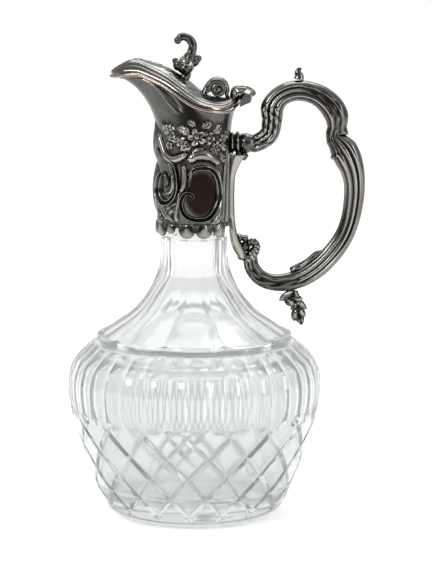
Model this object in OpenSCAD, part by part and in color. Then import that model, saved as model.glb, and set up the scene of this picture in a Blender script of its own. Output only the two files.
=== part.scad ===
/* [Glass body] */
// Radius of the flat base that the jug stands on
base_r = 40; // [30:1:48]
// Greatest radius of the body
body_r = 74.2; // [66:0.2:84]
// Height of the shoulder, where the neck's ledge begins
shoulder_z = 102; // [90:1:120]
// Radius of the scalloped ledge round the foot of the neck
ledge_r = 58.7; // [50:0.1:59.5]
// Height of the ledge
ledge_h = 5; // [3:0.5:8]
// Distance from the axis to the flats of the neck at its narrowest
neck_flat_r = 18.3; // [16.5:0.1:20]
// Height at which the neck is narrowest
neck_z = 158; // [145:1:165]
// Radius of the round neck top that the mount is bedded on
neck_top_r = 17.9; // [15.5:0.1:18]
// Height of the glass, to the top of the neck
glass_z = 221; // [200:1:223]
// Radius of the bore through the neck
neck_bore_r = 13.5; // [9:0.1:14.5]
// Thickness of the body's wall
glass_wall = 6; // [4.5:0.1:8]
// Thickness of the base
base_t = 12; // [8:0.5:18]

/* [Cutting] */
// Flat panels round the neck
neck_panels = 10; // [10:2:14]
// Upright flutes round the upper body
flutes = 36; // [24:4:44]
// Depth of a flute
flute_depth = 1.4; // [0.6:0.1:2]
// Height at which the flutes end
flute_foot_z = 62.5; // [61:0.5:66]
// Depth of the grooves between the diamonds
groove_depth = 1.5; // [0.8:0.1:2]
// Width of the grooves between the diamonds
groove_w = 3.8; // [2.5:0.1:4.5]

/* [Mount] */
// Thickness of the mount's wall
mount_wall = 1.4; // [1:0.1:2]
// Thickness of the plaster that beds the mount on the neck
plaster_t = 2.1; // [1.5:0.1:2.8]
// Height of the mount's lower edge
mount_z = 171; // [166:1:176]
// Height of the mount's waist, above which it flares
waist_z = 225; // [224:1:232]
// Reach of the spout's lip from the axis
spout_reach = 46.3; // [40:0.1:56]
// Reach of the mount's mouth behind the axis
mouth_back = 26.4; // [25.5:0.1:28]
// Half the width of the mouth
mouth_half_w = 22.5; // [21:0.1:26]
// Share of the mouth's width that the spout keeps
spout_share = 0.46; // [0.35:0.01:0.7]
// Radius of the wire round the mouth
rim_wire_r = 1.1; // [0.8:0.1:1.4]
// Height of the ornament above the mount's wall
relief_h = 1.5; // [0.8:0.1:2]

/* [Lid] */
// Thickness of the lid
lid_wall = 1.5; // [1.2:0.1:2.2]
// Height of the lid's upright edge
lid_edge_h = 1.2; // [0.8:0.1:2]
// Gap between the closed lid and the wire that it meets
lid_gap = 0.3; // [0.2:0.05:0.6]
// Width of the scroll on the lid
volute_w = 8; // [5:0.5:11]
// Outer radius of the scroll on the lid
volute_r = 6.8; // [5.5:0.1:7.2]
// Height of the finial above the lid
finial_h = 26; // [18:0.5:28]
// Radius of the finial's screw
stud_r = 1.25; // [1:0.05:1.6]

/* [Hinge] */
// Distance of the hinge's axis behind the mouth
hinge_back = 4; // [3.9:0.1:4.6]
// Height of the hinge's axis above the mouth's back edge
hinge_up = 3; // [2.6:0.1:3.4]
// Radius of the hinge's knuckles
knuckle_r = 2.7; // [2.2:0.1:2.8]
// Half the length of the lid's knuckle
lid_knuckle_half = 3; // [2:0.1:4]
// Half the length of the whole hinge
hinge_half = 9; // [7:0.1:10]
// Radius of the hinge pin
pin_r = 1.2; // [0.9:0.05:1.4]
// Running clearance round the pin
pin_clear = 0.05; // [0.02:0.01:0.1]
// Gap between knuckles along the pin
knuckle_gap = 0.3; // [0.2:0.05:0.5]

/* [Handle] */
// Reach of the handle from the face of the mount
handle_reach = 71.8; // [60:0.1:84]
// Share by which the handle's thickness is scaled
handle_stout = 1; // [0.8:0.01:1.15]
// Height of the handle's upper socket
socket_z = 218.5; // [216:0.5:219]
// Length of the socket from the face of the mount to the handle
socket_l = 8.5; // [7:0.1:9]
// Half the width of the strap down the mount's back
strap_half_w = 6; // [4:0.5:7]
// Thickness of the strap
strap_t = 2; // [1.2:0.1:2.4]

/* [Hidden] */
$fn = 64;
fit = 0.05;
far = 400;

// Fit of one piece inside the next, from the neck's axis outwards
sleeve_in = neck_top_r + plaster_t + fit;
sleeve_r = sleeve_in + mount_wall;
ornament_r = sleeve_r + fit;

// Blends, and smooth curves through points chosen by hand
function mix(a, b, k) = a + (b - a) * k;
function ease(k) = let(c = max(0, min(1, k))) c * c * (3 - 2 * c);
function leg(t, x, i = 0) = i >= len(t) - 2 || x < t[i + 1][0] ? i : leg(t, x, i + 1);
function slope(t, i) =
    let(a = t[max(0, i - 1)], b = t[min(len(t) - 1, i + 1)]) (b[1] - a[1]) / (b[0] - a[0]);
function through(t, x) =
    let(i = leg(t, x), a = t[i], b = t[i + 1], h = b[0] - a[0], f = (x - a[0]) / h)
    (2 * f ^ 3 - 3 * f ^ 2 + 1) * a[1] + (f ^ 3 - 2 * f ^ 2 + f) * h * slope(t, i)
    + (3 * f ^ 2 - 2 * f ^ 3) * b[1] + (f ^ 3 - f ^ 2) * h * slope(t, i + 1);
function along(p, u) =
    let(n = len(p) - 1, s = min(n - 1, floor(u * n)), f = u * n - s,
        a = p[max(0, s - 1)], b = p[s], c = p[s + 1], d = p[min(n, s + 2)])
    0.5 * (2 * b + (c - a) * f + (2 * a - 5 * b + 4 * c - d) * f ^ 2 + (3 * b - 3 * c + d - a) * f ^ 3);
function unit(v) = v / norm(v);

// Solid through a row of rings; looped joins the last ring to the first, as round a hollow sleeve
module skin(rings, looped = false) {
    m = len(rings);
    n = len(rings[0]);
    sides = [for (k = [0:m - (looped ? 1 : 2)]) for (i = [0:n - 1])
        let(a = k * n + i, b = k * n + (i + 1) % n, c = (k + 1) % m * n + (i + 1) % n, d = (k + 1) % m * n + i)
        each [[a, c, b], [a, d, c]]];
    caps = looped ? [] : [[for (i = [0:n - 1]) i], [for (i = [0:n - 1]) m * n - 1 - i]];
    polyhedron([for (ring = rings) each ring], concat(sides, caps), convexity = 8);
}

// Solid from loose triangles whose corners run anticlockwise seen from outside
module shell(triangles) {
    polyhedron([for (t = triangles) each t],
        [for (i = [0:len(triangles) - 1]) [3 * i + 2, 3 * i + 1, 3 * i]], convexity = 8);
}

// Tube along points in one upright plane, given as [x, z, half thickness]; wide is its depth over
// its thickness, and the sides draw in by channel
function tube_rings(path, steps, sides, wide, channel) =
    [for (k = [0:steps]) let(p = along(path, k / steps),
        before = along(path, max(0, k - 0.2) / steps), after = along(path, min(steps, k + 0.2) / steps),
        t = unit([after[0] - before[0], after[1] - before[1]]))
        [for (i = [0:sides - 1]) let(f = -360 * i / sides, out = p[2] * cos(f),
            across = p[2] * wide * sin(f) * (1 - channel * abs(sin(f)) ^ 6))
            [p[0] - t[1] * out, across, p[1] + t[0] * out]]];

// Outline of the body as shares of the shoulder's height and of the greatest radius
body_outline = [[0.012, 0.62], [0.04, 0.679], [0.088, 0.722], [0.2, 0.798], [0.314, 0.85], [0.44, 0.906],
    [0.57, 0.964], [0.65, 0.984], [0.755, 1], [0.83, 0.989], [0.897, 0.951], [0.965, 0.868], [1, 0.81]];
function glass_r(z) = body_r * through(body_outline, z / shoulder_z);
function on_glass(a, z, cut = 0) = let(r = glass_r(z) - cut) [r * cos(a), r * sin(a), z];

// Diamond lattice: crossings and diamond centres take turns on the rows and on the flutes' arrises
pitch = 360 / flutes;
lattice_rows = [for (share = [0.088, 0.2, 0.314, 0.44, 0.57]) share * shoulder_z];
last_row = len(lattice_rows) - 1;
heel_z = 0.05 * shoulder_z;
function crossing(i, j) = on_glass(i * pitch, lattice_rows[j], groove_depth);
function inset_a(z) = 90 * groove_w / (PI * glass_r(z)) * 1.4;
inset_z = groove_w * 0.62;
function corner_l(i, j) = let(z = lattice_rows[j]) on_glass((i - 1) * pitch + inset_a(z), z);
function corner_r(i, j) = let(z = lattice_rows[j]) on_glass((i + 1) * pitch - inset_a(z), z);
function corner_t(i, j) = on_glass(i * pitch, lattice_rows[j + 1] - inset_z);
function corner_b(i, j) = on_glass(i * pitch, lattice_rows[j - 1] + inset_z);
function quad(a, b, c, d) = [[a, b, c], [a, c, d]];
function upper_half(i, j) = let(l = crossing(i - 1, j), r = crossing(i + 1, j), t = crossing(i, j + 1))
    concat(quad(r, t, corner_t(i, j), corner_r(i, j)), quad(t, l, corner_l(i, j), corner_t(i, j)),
        [[corner_l(i, j), corner_r(i, j), corner_t(i, j)]]);
function lower_half(i, j) = let(l = crossing(i - 1, j), r = crossing(i + 1, j), b = crossing(i, j - 1))
    concat(quad(b, r, corner_r(i, j), corner_b(i, j)), quad(l, b, corner_b(i, j), corner_l(i, j)),
        [[corner_l(i, j), corner_b(i, j), corner_r(i, j)]]);
function diamonds() = [for (j = [0:last_row]) for (i = [0:flutes - 1]) if ((i + j) % 2 == 1)
    each concat(j < last_row ? upper_half(i, j) : [], j > 0 ? lower_half(i, j) : [])];

// Plain heel under the lattice, down to the base
function heel_cell(i) = let(l = corner_l(i, 0), r = corner_r(i, 0),
    h0 = on_glass((i - 1) * pitch, heel_z), h1 = on_glass(i * pitch, heel_z), h2 = on_glass((i + 1) * pitch, heel_z))
    [[crossing(i - 1, 0), h0, l], [h0, h1, l], [l, h1, r], [h1, h2, r], [h2, crossing(i + 1, 0), r]];
function ring_at(i, k) = let(a = i * pitch, z = [heel_z, 0.012 * shoulder_z, 0][k])
    k == 2 ? [base_r * cos(a), base_r * sin(a), 0] : on_glass(a, z);
function heel() = concat(
    [for (i = [1:2:flutes - 1]) each heel_cell(i)],
    [for (i = [0:flutes - 1]) each concat(quad(ring_at(i, 1), ring_at(i + 1, 1), ring_at(i + 1, 0), ring_at(i, 0)),
        quad(ring_at(i, 2), ring_at(i + 1, 2), ring_at(i + 1, 1), ring_at(i, 1)),
        [[[0, 0, 0], ring_at(i + 1, 2), ring_at(i, 2)]])]);

// Upright flutes: each is four strips wide, and its depth fades at the foot and under the ledge
flute_rows = [for (share = [0, 0.04, 0.11, 0.22, 0.42, 0.62, 0.78, 0.9, 1])
    mix(flute_foot_z, shoulder_z, share)];
flute_fade = [0, 0.6, 0.9, 1, 1, 1, 0.9, 0.7, 0];
strips = 4;
function flute_point(c, k) = let(f = (c % strips) / strips)
    on_glass(c * pitch / strips, flute_rows[k], flute_depth * flute_fade[k] * 4 * f * (1 - f));
function fluting() = let(last = len(flute_rows) - 1)
    [for (k = [0:last - 1]) for (c = [0:flutes * strips - 1])
        each quad(flute_point(c, k), flute_point(c + 1, k), flute_point(c + 1, k + 1), flute_point(c, k + 1))];
function tie_cell(i) = let(l = corner_l(i, last_row), r = corner_r(i, last_row), c = i * strips) concat(
    [[crossing(i - 1, last_row), l, flute_point(c - strips, 0)], [l, r, flute_point(c, 0)],
        [r, crossing(i + 1, last_row), flute_point(c + strips, 0)]],
    [for (s = [0:strips - 1]) [l, flute_point(c - s, 0), flute_point(c - s - 1, 0)]],
    [for (s = [0:strips - 1]) [r, flute_point(c + s + 1, 0), flute_point(c + s, 0)]]);
function tie() = [for (i = [1:2:flutes - 1]) each tie_cell(i)];

// Skin between two rings of points, whatever their counts; both run anticlockwise from angle 0
function zip(a, b) = let(n = len(a), m = len(b), up = [for (i = [0:n - 1]) round((i + 0.5) * m / n)]) concat(
    [for (i = [0:n - 1]) [a[i], a[(i + 1) % n], b[up[i] % m]]],
    [for (j = [0:m - 1]) [b[(j + 1) % m], b[j], a[len([for (u = up) if (u <= j) u]) % n]]]);
function zip_all(rings) = [for (k = [0:len(rings) - 2]) each zip(rings[k], rings[k + 1])];
function ring(r, z, n) = [for (i = [0:n - 1]) [r * cos(360 * i / n), r * sin(360 * i / n), z]];

// Ledge round the foot of the neck, its edge scalloped in one arc to each panel
scallop_points = 4 * neck_panels;
function ledge_ring(r, z) = [for (i = [0:scallop_points - 1])
    let(u = ((i + 2) % 4) / 2 - 1, f = r * (1 - 0.04 * u * u), a = 360 * i / scallop_points) [f * cos(a), f * sin(a), z]];

// Panels of the neck, flat across: a straight slope above the ledge, then one arc up to the narrowest height
slope_r = 37.6;
slope_z = 118;
neck_round_z = neck_z + 5;
neck_arc_r = ((slope_r - neck_flat_r) ^ 2 + (neck_z - slope_z) ^ 2) / (2 * (slope_r - neck_flat_r));
function flat_r(z) = z < slope_z
    ? mix(ledge_r * 0.905, slope_r, (z - shoulder_z - ledge_h) / (slope_z - shoulder_z - ledge_h))
    : z < neck_z ? neck_flat_r + neck_arc_r - sqrt(neck_arc_r ^ 2 - (neck_z - z) ^ 2) : neck_flat_r;
panel_rows = concat([shoulder_z + ledge_h, mix(shoulder_z + ledge_h, slope_z, 0.5)],
    [for (k = [0:7]) mix(slope_z, neck_z, k / 7)], [neck_round_z]);
bore_points = 40;
floor_r = 0.72 * glass_r(0.2 * shoulder_z);
inner_outline = concat([[neck_bore_r, glass_z], [neck_bore_r, neck_z - 18], [neck_flat_r + 4, slope_z + 9],
    [slope_r - 4.5, slope_z - 6]],
    [for (share = [0.94, 0.897, 0.83, 0.755, 0.65, 0.57, 0.4, 0.27, 0.19])
        [glass_r(share * shoulder_z) - glass_wall, share * shoulder_z]],
    [[floor_r, base_t]]);
function neck_and_bore() = let(last = len(flute_rows) - 1, floor_ring = ring(floor_r, base_t, bore_points))
    concat(zip_all(concat(
        [[for (c = [0:flutes * strips - 1]) flute_point(c, last)]],
        [ledge_ring(ledge_r, shoulder_z), ledge_ring(ledge_r, shoulder_z + ledge_h * 0.7),
            ledge_ring(ledge_r - 1.5, shoulder_z + ledge_h)],
        [for (z = panel_rows) ring(flat_r(z) / cos(180 / neck_panels), z, neck_panels)],
        [ring(neck_top_r, neck_round_z, bore_points), ring(neck_top_r, glass_z, bore_points)],
        [for (p = inner_outline) ring(p[0], p[1], bore_points)])),
        [for (i = [0:bore_points - 1]) [floor_ring[i], floor_ring[(i + 1) % bore_points], [0, 0, base_t]]]);
module glass_body() color("aliceblue") shell(concat(diamonds(), heel(), fluting(), tie(), neck_and_bore()));

// Plaster between the neck and the mount, held back from both ends
plaster_low = max(mount_z, neck_round_z) + 3;
plaster_high = glass_z - 7;
module plaster_bedding() color("gainsboro") rotate_extrude()
    polygon([[neck_top_r, plaster_low], [sleeve_in - fit, plaster_low],
        [sleeve_in - fit, plaster_high], [neck_top_r, plaster_high]]);

// Mouth of the mount, seen from above a teardrop and from the side a saddle; t runs round it from the back
mouth_mid = (mouth_back - spout_reach) / 2;
mouth_half_l = (mouth_back + spout_reach) / 2;
mouth_rise = [[-1, 31.5], [-0.62, 32.7], [-0.39, 29.9], [-0.16, 25.9], [0.23, 16.3], [0.46, 13.1], [0.77, 12.1],
    [1, 15.8]];
function bow(t) = t > 180 ? 360 - t : t;
function mouth_x(t) = mouth_mid + mouth_half_l * cos(t);
function mouth_y(t) = mouth_half_w * sin(t) * mix(1.05, spout_share, ease((bow(t) - 55) / 75));
function mouth_z(t) = waist_z + through(mouth_rise, cos(t));

// Flare from the round waist to the mouth, along a quarter of an ellipse; s runs from 0 to 90
function flare(t, s) = let(k = (1 - cos(s)) ^ 0.8)
    [mix(sleeve_r * cos(t), mouth_x(t), k), mix(sleeve_r * sin(t), mouth_y(t), k),
        mix(waist_z, mouth_z(t), sin(s))];
function flare_normal(t, s) = let(du = flare((t + 361) % 360, s) - flare((t + 359) % 360, s),
    dv = flare(t, min(90, s + 1)) - flare(t, max(0, s - 1))) unit(cross(du, dv));
collar_steps = 48;
flare_rows = [12, 25, 38, 50, 62, 75, 90];
function collar_ring(z, r) = [for (i = [0:collar_steps - 1]) let(t = 360 * i / collar_steps)
    [r * cos(t), r * sin(t), z]];
function flare_ring(s, depth) = [for (i = [0:collar_steps - 1]) let(t = 360 * i / collar_steps)
    flare(t, s) - depth * flare_normal(t, s)];
module mount_collar() color("dimgray")
    skin(concat([collar_ring(mount_z, sleeve_r), collar_ring(waist_z, sleeve_r)],
        [for (s = flare_rows) flare_ring(s, 0)],
        [for (k = [len(flare_rows) - 1:-1:0]) flare_ring(flare_rows[k], mount_wall)],
        [collar_ring(waist_z, sleeve_in), collar_ring(mount_z, sleeve_in)]), looped = true);

// Wire round the mouth, open at the back where the hinge sits
wire_from = 4;
function wire_ring(t) = let(p = flare(t, 90), q = flare_normal(t, 90),
    a = flare(t + 1, 90) - flare(t - 1, 90), out = unit([a[1], -a[0]]),
    reach = rim_wire_r + 5 * fit,
    c = [p[0] + reach * out[0], p[1] + reach * out[1], p[2] + mount_wall / 2])
    [for (i = [8:-1:1]) c + rim_wire_r * [out[0] * cos(45 * i), out[1] * cos(45 * i), sin(45 * i)]];
module rim_wire() color("silver")
    skin([for (i = [wire_from:collar_steps - wire_from]) wire_ring(360 * i / collar_steps)]);

// Border of shells under the mount, one band whose lower edge hangs in lobes; it stops short of the strap
shell_places = [48, 75, 101, 128, 149, 168, 192, 211, 232, 259, 285, 312];
shell_size = [4.8, 5.2, 5, 3, 4.8, 4, 4, 4.8, 3, 5, 5.2, 4.8];
shell_from = 26;
shell_root = 0.15;
function lobe(t, k) = let(d = abs(t - shell_places[k]) * PI / 180 * ornament_r / shell_size[k])
    d < 1 ? shell_size[k] * (shell_root + sqrt(1 - d * d)) : 0;
function shell_drop(t) = max([for (k = [0:len(shell_places) - 1]) lobe(t, k)]);
function border_ring(t) = let(low = mount_z - shell_drop(t), top = mount_z + 2.4)
    [for (p = [[0, top], [0.4, top], [0.9, top - 1.2], [1, low + 1.2], [0.5, low], [0, low]])
        let(r = ornament_r + relief_h * p[0]) [r * cos(t), r * sin(t), p[1]]];
module shell_border() color("dimgray")
    skin([for (k = [0:84]) border_ring(mix(shell_from, 360 - shell_from, k / 84))]);

// Strap down the back, from the socket to the foot of the handle, hollowed to lie on the mount
strap_line = [[2.6, socket_z - mount_z - 10.6, 1.5], [0.6, 30, 1.15], [0, 22, 1], [0.2, 4, 1], [1.6, -7, 1.2], [4.9, -15.4, 1.5], [6.8, -19.5, 1.3]];
strap_steps = 15;
strap_mid = [for (k = [0:strap_steps]) along(strap_line, k / strap_steps)];
strap_face = [for (p = strap_mid) [ornament_r + p[0] + strap_t * p[2], mount_z + p[1]]];
module back_strap() color("dimgray") difference() {
    rotate([90, 0, 0]) linear_extrude(height = 2 * strap_half_w, center = true)
        polygon(concat(strap_face, [for (k = [strap_steps:-1:0])
            [ornament_r + strap_mid[k][0] - (k < strap_steps / 2 ? 2 : 0), mount_z + strap_mid[k][1]]]));
    cylinder(r = ornament_r, h = far);
    for (side = [-1, 1]) translate([ornament_r + strap_t + 1.1, side * strap_half_w * 0.45, mount_z - 8])
        cylinder(r = 1.5, h = 33);
}

// Ornament laid on the mount: a tube whose points are [angle, height, half thickness]
function on_mount_rings(path, steps, sides) =
    [for (k = [0:steps]) let(p = along(path, k / steps),
        b = along(path, max(0, k - 0.2) / steps), a = along(path, min(steps, k + 0.2) / steps),
        t = unit([(a[0] - b[0]) * PI / 180 * ornament_r, a[1] - b[1]]))
        [for (i = [0:sides - 1]) let(f = 360 * i / sides, side = p[2] * cos(f),
            r = ornament_r + fit + p[2] * (1 + sin(f)) * 0.8, ang = p[0] - side * t[1] / ornament_r * 180 / PI)
            [r * cos(ang), r * sin(ang), p[1] + side * t[0]]]];
scroll_line = [[-95, 16.6, 0.8], [-91.5, 18.4, 1], [-96, 20.3, 1.15], [-103, 20, 1.3], [-109, 16, 1.4],
    [-108.5, 11, 1.4], [-101, 6.9, 1.5], [-86, 5, 1.6], [-69, 6, 1.6], [-56, 11.5, 1.6], [-50, 19, 1.6],
    [-53, 27.5, 1.5], [-63, 33.3, 1.5], [-77, 35, 1.5], [-90, 34, 1.4], [-97, 30.5, 1.1]];
function on_foot(line) = [for (p = line) [p[0], mount_z + p[1], p[2]]];
module cartouche() skin(on_mount_rings(on_foot(scroll_line), 46, 6));
module cartouche_near() color("dimgray") cartouche();
module cartouche_far() color("dimgray") mirror([0, 1, 0]) cartouche();

// Flowers with five petals and leaves, each bead cut to lie on the mount
bloom_r = 2.4;
module bloom(a, z, r) for (k = [0:5])
    rotate([0, 0, a]) translate([sleeve_r, 0, z]) rotate([72 * k, 0, 0])
        translate([k == 5 ? r * 0.35 : 0, 0, k == 5 ? 0 : r * 1.15]) sphere(r = k == 5 ? r * 0.8 : r * 0.85, $fn = 24);
module band(r0, r1, z0, z1) rotate_extrude() polygon([[r0, z0], [r1, z0], [r1, z1], [r0, z1]]);
module sprig(a, z, r, tall) rotate([0, 0, a]) translate([0, 0, z]) rotate([tall, 0, 0])
    intersection_for (s = [-1, 1]) translate([0, s * r * 0.6, 0]) rotate([0, 90, 0]) cylinder(r = r, h = 60);
module flower_spray() difference() {
    union() {
        bloom(-76, mount_z + 49, bloom_r);
        bloom(-112, mount_z + 49, bloom_r * 0.8);
        intersection() {
            band(sleeve_r, ornament_r + relief_h * 0.8, mount_z + 40, mount_z + 54);
            union() {
                sprig(-94, mount_z + 47, 8, 70);
                sprig(-56, mount_z + 46, 8, -60);
                sprig(-129, mount_z + 49, 6, 60);
                sprig(-38, mount_z + 45, 6, 50);
            }
        }
    }
    cylinder(r = ornament_r, h = far);
}
module flower_spray_near() color("dimgray") flower_spray();
module flower_spray_far() color("dimgray") mirror([0, 1, 0]) flower_spray();

// Scrolls beside the spout, with a leaf under each
front_line = [[-140, 23, 0.8], [-134, 25, 1], [-135, 29, 1.2], [-144, 31, 1.4], [-153, 27, 1.7], [-154, 20, 1.9],
    [-145, 15, 1.9], [-131, 14.5, 1.8], [-120, 19, 1.6], [-117.5, 27, 1.5], [-122, 35, 1.4], [-133, 39.5, 1.3],
    [-147, 41.5, 1.1], [-160, 45, 0.9]];
module front_scrolls() color("dimgray") for (side = [0, 1]) mirror([0, side, 0])
    skin(on_mount_rings(on_foot(front_line), 36, 6));

// Turned socket that carries the handle's upper end, with a bud under it
module handle_socket() color("dimgray") difference() {
    union() {
        translate([0, 0, socket_z]) rotate([0, 90, 0]) rotate_extrude()
            polygon([[0, sleeve_r - 2], [6, sleeve_r - 2], [5.4, sleeve_r + 2], [5, sleeve_r + 2.6],
                [6.4, sleeve_r + 3.2], [6.7, sleeve_r + 4.2], [6.2, sleeve_r + 5], [4.6, sleeve_r + 5.4],
                [4.6, sleeve_r + 6], [5.4, sleeve_r + 6.5], [5.4, sleeve_r + 7.6],
                [4.6, sleeve_r + socket_l - 2 * fit], [0, sleeve_r + socket_l - 2 * fit]]);
        translate([sleeve_r + 4.2, 0, socket_z - 7.4]) sphere(r = 2.6, $fn = 32);
        translate([sleeve_r + 7.2, 0, socket_z - 8.2]) sphere(r = 2, $fn = 32);
    }
    cylinder(r = ornament_r, h = far);
}

// Handle: [reach, height, half thickness] of its middle line, from the socket round to the foot
handle_line = [[0.118, 0, 4.2], [0.16, 0, 4.5], [0.2, 0, 5], [0.3, 5.5, 5.4], [0.33, 13.5, 5.6], [0.334, 20, 6.3],
    [0.376, 26.5, 6.8], [0.467, 30.5, 7.1], [0.571, 31.3, 7.2], [0.69, 29, 7.4], [0.787, 23.7, 7.7],
    [0.845, 16.5, 7.1], [0.854, 9.5, 5.9], [0.833, 4, 4.9], [0.884, -2, 7], [0.94, -8.5, 8], [0.982, -16, 7],
    [1, -24.5, 6.2], [0.992, -34, 5.7], [0.958, -44.5, 5.3], [0.898, -54, 5.1], [0.801, -63, 5.2],
    [0.675, -71.5, 5.2], [0.529, -77.7, 5], [0.376, -79.7, 4.7], [0.251, -77.1, 4.6], [0.177, -72.5, 4.5],
    [0.16, -69.3, 4.3], [0.16, -67.5, 4.2]];
function handle_at(p) = [sleeve_r + max(p[0] * handle_reach, socket_l), socket_z + p[1], p[2] * handle_stout];
handle_path = [for (p = handle_line) handle_at(p)];
handle_depth = 0.92;
handle_channel = 0.42;
// Point beside the handle's middle line: i counts along handle_line, off lies outside the loop if positive
last_bend = len(handle_line) - 1;
function handle_edge(i, off) = let(p = along(handle_path, i / last_bend),
    b = along(handle_path, (i - 0.2) / last_bend), a = along(handle_path, (i + 0.2) / last_bend),
    t = unit([a[0] - b[0], a[1] - b[1]]), s = sign(off) * p[2] + off) [p[0] - t[1] * s, p[1] + t[0] * s];
function from_edge(base, line) = [for (p = line) [base[0] + p[0], base[1] + p[1], p[2]]];
module handle() color("dimgray") skin(tube_rings(handle_path, 78, 12, handle_depth, handle_channel));

// Leaves cast apart and set on the handle: a curl on its crest, one that hangs under it, one inside the loop
crest_line = [[0, 0, 2.4], [0.4, 1.6, 2.1], [-0.2, 3.4, 1.5], [1.2, 4.6, 1.1], [2.4, 4, 0.8]];
drop_line = [[0, 0, 3], [-2, -5, 4.6], [0, -10, 3.4], [1.6, -16, 4], [3, -21, 3], [3.4, -25.5, 0.9]];
module handle_crest_leaf() color("dimgray")
    skin(tube_rings(from_edge(handle_edge(7.9, 0.45), crest_line), 10, 8, 0.9, 0));
module handle_drop_leaf() color("dimgray")
    skin(tube_rings(from_edge(handle_edge(23.6, 1.3), drop_line), 14, 8, 0.8, 0));
module handle_inner_leaf() color("dimgray")
    skin(tube_rings([for (k = [0:5]) let(h = mix(0.5, 1.4, k / 5), e = handle_edge(mix(21.3, 23.2, k / 5), -h - 0.15))
        [e[0], e[1], h]], 10, 8, 2.4, 0));

// Shell that joins the strap to the foot of the handle
module handle_bracket() color("dimgray") {
    foot = handle_path[last_bend];
    difference() {
        union() {
            translate([foot[0], 0, foot[1] + 4]) sphere(r = 5, $fn = 32);
            translate([foot[0] + 4.2, 0, foot[1] + 4.8]) sphere(r = 3.2, $fn = 32);
            for (side = [-1, 1]) translate([foot[0] + 1.5, side * 3, foot[1] + 6.5]) sphere(r = 3, $fn = 32);
        }
        translate([0, -far / 2, foot[1] + 5 * fit - far]) cube([far, far, far]);
        rotate([90, 0, 0]) linear_extrude(height = far, center = true)
            polygon(concat([for (p = strap_face) p + [fit, 0]], [[0, strap_face[strap_steps][1]], [0, mount_z + 34]]));
    }
}

// Lid: cross sections from the hinge to the spout, over the mouth's own outline
lid_stations = 28;
lid_over = 1.7;
function lid_t(k) = mix(12, 173, k / lid_stations);
function lid_over_at(t) = lid_over * ease((t - 20) / 25);
function lid_x(t) = mouth_mid + (mouth_half_l + lid_over_at(t)) * cos(t);
function lid_y(t) = mouth_y(t) * (1 + lid_over_at(t) / mouth_half_w);
function lid_seat(t) = mouth_z(t) + mount_wall / 2 + rim_wire_r + lid_gap;
lid_crown = [[-1, 0.6], [-0.77, 5], [-0.56, 6.2], [-0.32, 7.2], [-0.09, 8.8], [0.04, 9.2], [0.2, 9], [0.37, 6.6],
    [0.55, 4.8], [0.83, 4.4], [1, 2]];
function crown(t) = through(lid_crown, cos(t));
across = [for (j = [0:12]) -cos(15 * j)];
function lid_ring(t) = let(y = lid_y(t), y_in = max(0.3 * y, y - 1.3 * lid_wall), z = lid_seat(t), h = crown(t),
    h_in = max(0.2, h + lid_edge_h - lid_wall))
    concat([for (j = across) [lid_x(t), j * y, z + lid_edge_h + h * (1 - abs(j) ^ 2.2)]],
        [for (k = [11:-1:1]) [lid_x(t), across[k] / across[11] * y_in, z + h_in * (1 - abs(across[k] / across[11]) ^ 2.2)]]);
function lid_top(t) = lid_seat(t) + lid_edge_h + crown(t);
finial_t = 83;
finial_x = lid_x(finial_t);
finial_z = lid_top(finial_t);
module screw_hole() translate([finial_x, 0, finial_z - far / 2]) cylinder(r = stud_r + fit, h = far);
module lid() color("dimgray") difference() {
    skin([for (k = [0:lid_stations]) lid_ring(lid_t(k))]);
    screw_hole();
}

// Scroll that stands on the lid behind the finial: a ribbon that rises, rolls over and winds in to its eye
volute_t = 52;
volute_turn = 470;
volute_pitch = 0.46 * volute_r;
function volute_half(a) = volute_r * mix(0.15, 0.11, a / volute_turn);
function volute_at(a, side) =
    let(r = volute_r * 0.85 - volute_pitch * a / 360 + side * volute_half(a)) [r * cos(200 - a), r * sin(200 - a)];
volute_drop = -volute_at(290, 1)[1];
module lid_volute() color("dimgray")
    translate([lid_x(volute_t), 0, lid_top(volute_t) + volute_drop + 8 * fit])
        rotate([90, 0, 0]) linear_extrude(height = volute_w, center = true)
            polygon(concat([for (a = [0:15:volute_turn]) volute_at(a, 1)],
                [for (a = [volute_turn - volute_turn % 15:-15:0]) volute_at(a, -1)]));

// Hinge: its axis lies behind and above the mouth's back edge
hinge_x = mouth_back + hinge_back;
hinge_z = mouth_z(0) + mount_wall / 2 + hinge_up;
module knuckle(y0, y1) translate([hinge_x, y1, hinge_z]) rotate([90, 0, 0]) cylinder(r = knuckle_r, h = y1 - y0);
module pin_hole() translate([hinge_x, far / 2, hinge_z]) rotate([90, 0, 0]) cylinder(r = pin_r + pin_clear, h = far);
module hinge_mount_knuckles() color("gray") for (side = [0, 1]) mirror([0, side, 0]) difference() {
    union() {
        knuckle(lid_knuckle_half + knuckle_gap, hinge_half);
        translate([0, hinge_half, 0]) rotate([90, 0, 0])
            linear_extrude(height = hinge_half - lid_knuckle_half - knuckle_gap)
                polygon([[mouth_back + 2 * fit, mouth_z(0) - 1], [hinge_x, hinge_z - knuckle_r],
                    [hinge_x, hinge_z], [mouth_back + 2 * fit, hinge_z]]);
    }
    pin_hole();
}
module hinge_lid_knuckle() color("gray") difference() {
    union() {
        knuckle(-lid_knuckle_half, lid_knuckle_half);
        translate([lid_x(12) + fit, -lid_knuckle_half, hinge_z - 1.4])
            cube([hinge_x - lid_x(12) - fit, 2 * lid_knuckle_half, 3.4]);
    }
    pin_hole();
}
module hinge_pin() color("silver")
    translate([hinge_x, hinge_half + 0.6, hinge_z]) rotate([90, 0, 0]) cylinder(r = pin_r, h = 2 * hinge_half + 1.2);

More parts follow.
